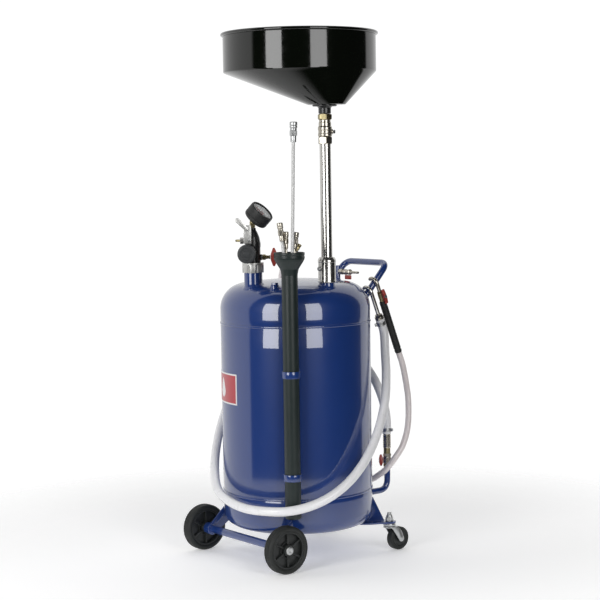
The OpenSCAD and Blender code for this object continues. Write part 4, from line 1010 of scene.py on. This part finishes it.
def probe(piece, x, y, tube_r, neck, top, head_r, lean, toward, tube_finish, head_finish):
    """A probe that stands in the holder and leans above BEND_Z, with a coupling from neck to top."""
    base = HOLDER_AT @ move(x, y)
    bent = base @ move(0, 0, BEND_Z) @ turn(toward, "Z") @ turn(lean, "Y")
    low_z, high_z = neck - BEND_Z, top - BEND_Z
    end = base.inverted() @ (bent @ Vector((0, 0, low_z)))
    piece.tube([(0, 0, 146), (0, 0, BEND_Z), end], tube_r, tube_finish, base, bend=18, sides=20)
    tall = top - neck
    piece.rod(head_r * 0.75, low_z, low_z + tall * 0.3, head_finish, bent, 32, 0.6)
    piece.nut(head_r * 1.72, low_z + tall * 0.3, low_z + tall * 0.58, head_finish, bent)
    z = low_z + tall * 0.58
    outline = [(0, z), (head_r * 0.86, z), (head_r * 0.86, z + tall * 0.1), (head_r, z + tall * 0.14),
               (head_r, z + tall * 0.2), (head_r * 0.93, z + tall * 0.22), (head_r, z + tall * 0.25),
               (head_r, z + tall * 0.38), (head_r * 0.85, high_z), (head_r * 0.5, high_z),
               (head_r * 0.5, high_z - 4), (0, high_z - 4)]
    piece.lathe(outline, head_finish, bent, 36, round_by=0.5)


tall_probe = Piece("long_probe_tube", "tank", ("long_probe",), "hose_clear")
probe(tall_probe, 2, -10, 4.5, 1110, 1162, 10, 1.4, SIDE, PROBE_TUBE, ZINC)
tall_probe.done()
leaning = Piece("side_probe_tube", "tank", ("side_probe",), "hose_clear")
probe(leaning, -11, 4, 4, 858, 906, 8, 6.5, SIDE + 180, PROBE_TUBE, NICKEL)
leaning.done()
short = Piece("short_probes_metal", "tank", ("short_probes",), "nickel")
probe(short, -2, 11, 4, 838, 882, 8, 0, 0, NICKEL, NICKEL)
probe(short, 11, -1, 4, 838, 881, 9, 6, SIDE, NICKEL, NICKEL)
probe(short, 8, 9, 3, 836, 856, 6, 30, -20, NICKEL, BRASS)
short.done()

# ---- CAD nodes left showing ----

slots = {"axle": "satin_steel", "mast_seal": "rubber", "mast_guide": "satin_steel",
         "bowl_strainer": "satin_steel"}
for name, slot_name in slots.items():
    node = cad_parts[name]
    node.data.materials.clear()
    node.data.materials.append(FINISH[slot_name])

# ---- floor and light ----

floor_mesh = bmesh.new()
bmesh.ops.create_circle(floor_mesh, cap_ends=True, segments=128, radius=1.8)
floor_data = bpy.data.meshes.new("floor")
floor_mesh.to_mesh(floor_data)
floor_mesh.free()
floor = shown("floor", floor_data)
floor.location.z = -0.0005
floor_finish = bpy.data.materials.new("floor")
floor_finish.use_nodes = True
tree = floor_finish.node_tree
shader = tree.nodes["Principled BSDF"]
put(shader, Base_Color=(0.90, 0.90, 0.90, 1), Roughness=0.6, Specular_IOR_Level=0.1,
    Emission_Color=(1, 1, 1, 1), Emission_Strength=0.30)
coords = tree.nodes.new("ShaderNodeTexCoord")
distance = tree.nodes.new("ShaderNodeVectorMath")
distance.operation = "LENGTH"
link(tree, coords.outputs["Object"], distance.inputs[0])
fade = smooth_ramp(tree, distance.outputs["Value"], 0.55, 1.7, 0.0, 1.0)
open_air = tree.nodes.new("ShaderNodeBsdfTransparent")
floor_mix = tree.nodes.new("ShaderNodeMixShader")
link(tree, fade, floor_mix.inputs[0])
link(tree, shader.outputs[0], floor_mix.inputs[1])
link(tree, open_air.outputs[0], floor_mix.inputs[2])
link(tree, floor_mix.outputs[0], tree.nodes["Material Output"].inputs["Surface"])
floor_data.materials.append(floor_finish)

world = bpy.data.worlds.new("studio")
bpy.context.scene.world = world
world.use_nodes = True
tree = world.node_tree
tree.nodes.clear()
out = tree.nodes.new("ShaderNodeOutputWorld")
bright = tree.nodes.new("ShaderNodeBackground")
put(bright, Color=(1, 1, 1, 1), Strength=1.05)
dim = tree.nodes.new("ShaderNodeBackground")
coords = tree.nodes.new("ShaderNodeTexCoord")
facing = tree.nodes.new("ShaderNodeVectorMath")
facing.operation = "DOT_PRODUCT"
back = Vector((forward.x, forward.y, 0)).normalized()
across_view = Vector((back.y, -back.x, 0))
LIT_FROM = math.radians(22)
facing.inputs[1].default_value = back * math.cos(LIT_FROM) - across_view * math.sin(LIT_FROM)
link(tree, coords.outputs["Generated"], facing.inputs[0])
lit_side = smooth_ramp(tree, facing.outputs["Value"], 0.06, 0.16, 0.02, 1.0)
link(tree, lit_side, dim.inputs["Strength"])
path = tree.nodes.new("ShaderNodeLightPath")
choose = tree.nodes.new("ShaderNodeMixShader")
link(tree, path.outputs["Is Camera Ray"], choose.inputs[0])
link(tree, dim.outputs[0], choose.inputs[1])
link(tree, bright.outputs[0], choose.inputs[2])
link(tree, choose.outputs[0], out.inputs["Surface"])


def softbox(name, degrees, distance, width, low_z, high_z, radiance):
    """A tall soft light, at an angle from the direction towards the camera."""
    a = math.radians(degrees)
    way = -back * math.cos(a) + across_view * math.sin(a)
    data = bpy.data.lights.new(name, "AREA")
    data.shape = "RECTANGLE"
    data.size, data.size_y = width, high_z - low_z
    data.energy = radiance * math.pi * width * (high_z - low_z)
    o = shown(name, data)
    centre = PLACE @ Vector((0, 0, 0))
    o.location = centre + way * distance + Vector((0, 0, (low_z + high_z) / 2))
    o.rotation_euler = (-way).to_track_quat("-Z", "Y").to_euler()


BOX_AWAY, BOX_WIDE, BOX_LOW, BOX_HIGH = 3.0, 1.27, 0.40, 2.7
softbox("light_left", -37, BOX_AWAY, BOX_WIDE, BOX_LOW, BOX_HIGH, 5.6)
softbox("light_right", 28, BOX_AWAY, BOX_WIDE, BOX_LOW, BOX_HIGH, 4.4)
over = bpy.data.lights.new("light_above", "AREA")
over.shape = "RECTANGLE"
over.size, over.size_y = 2.4, 2.4
over.energy = 10
above = shown("light_above", over)
above.location = (0.4, 0.6, 3.4)
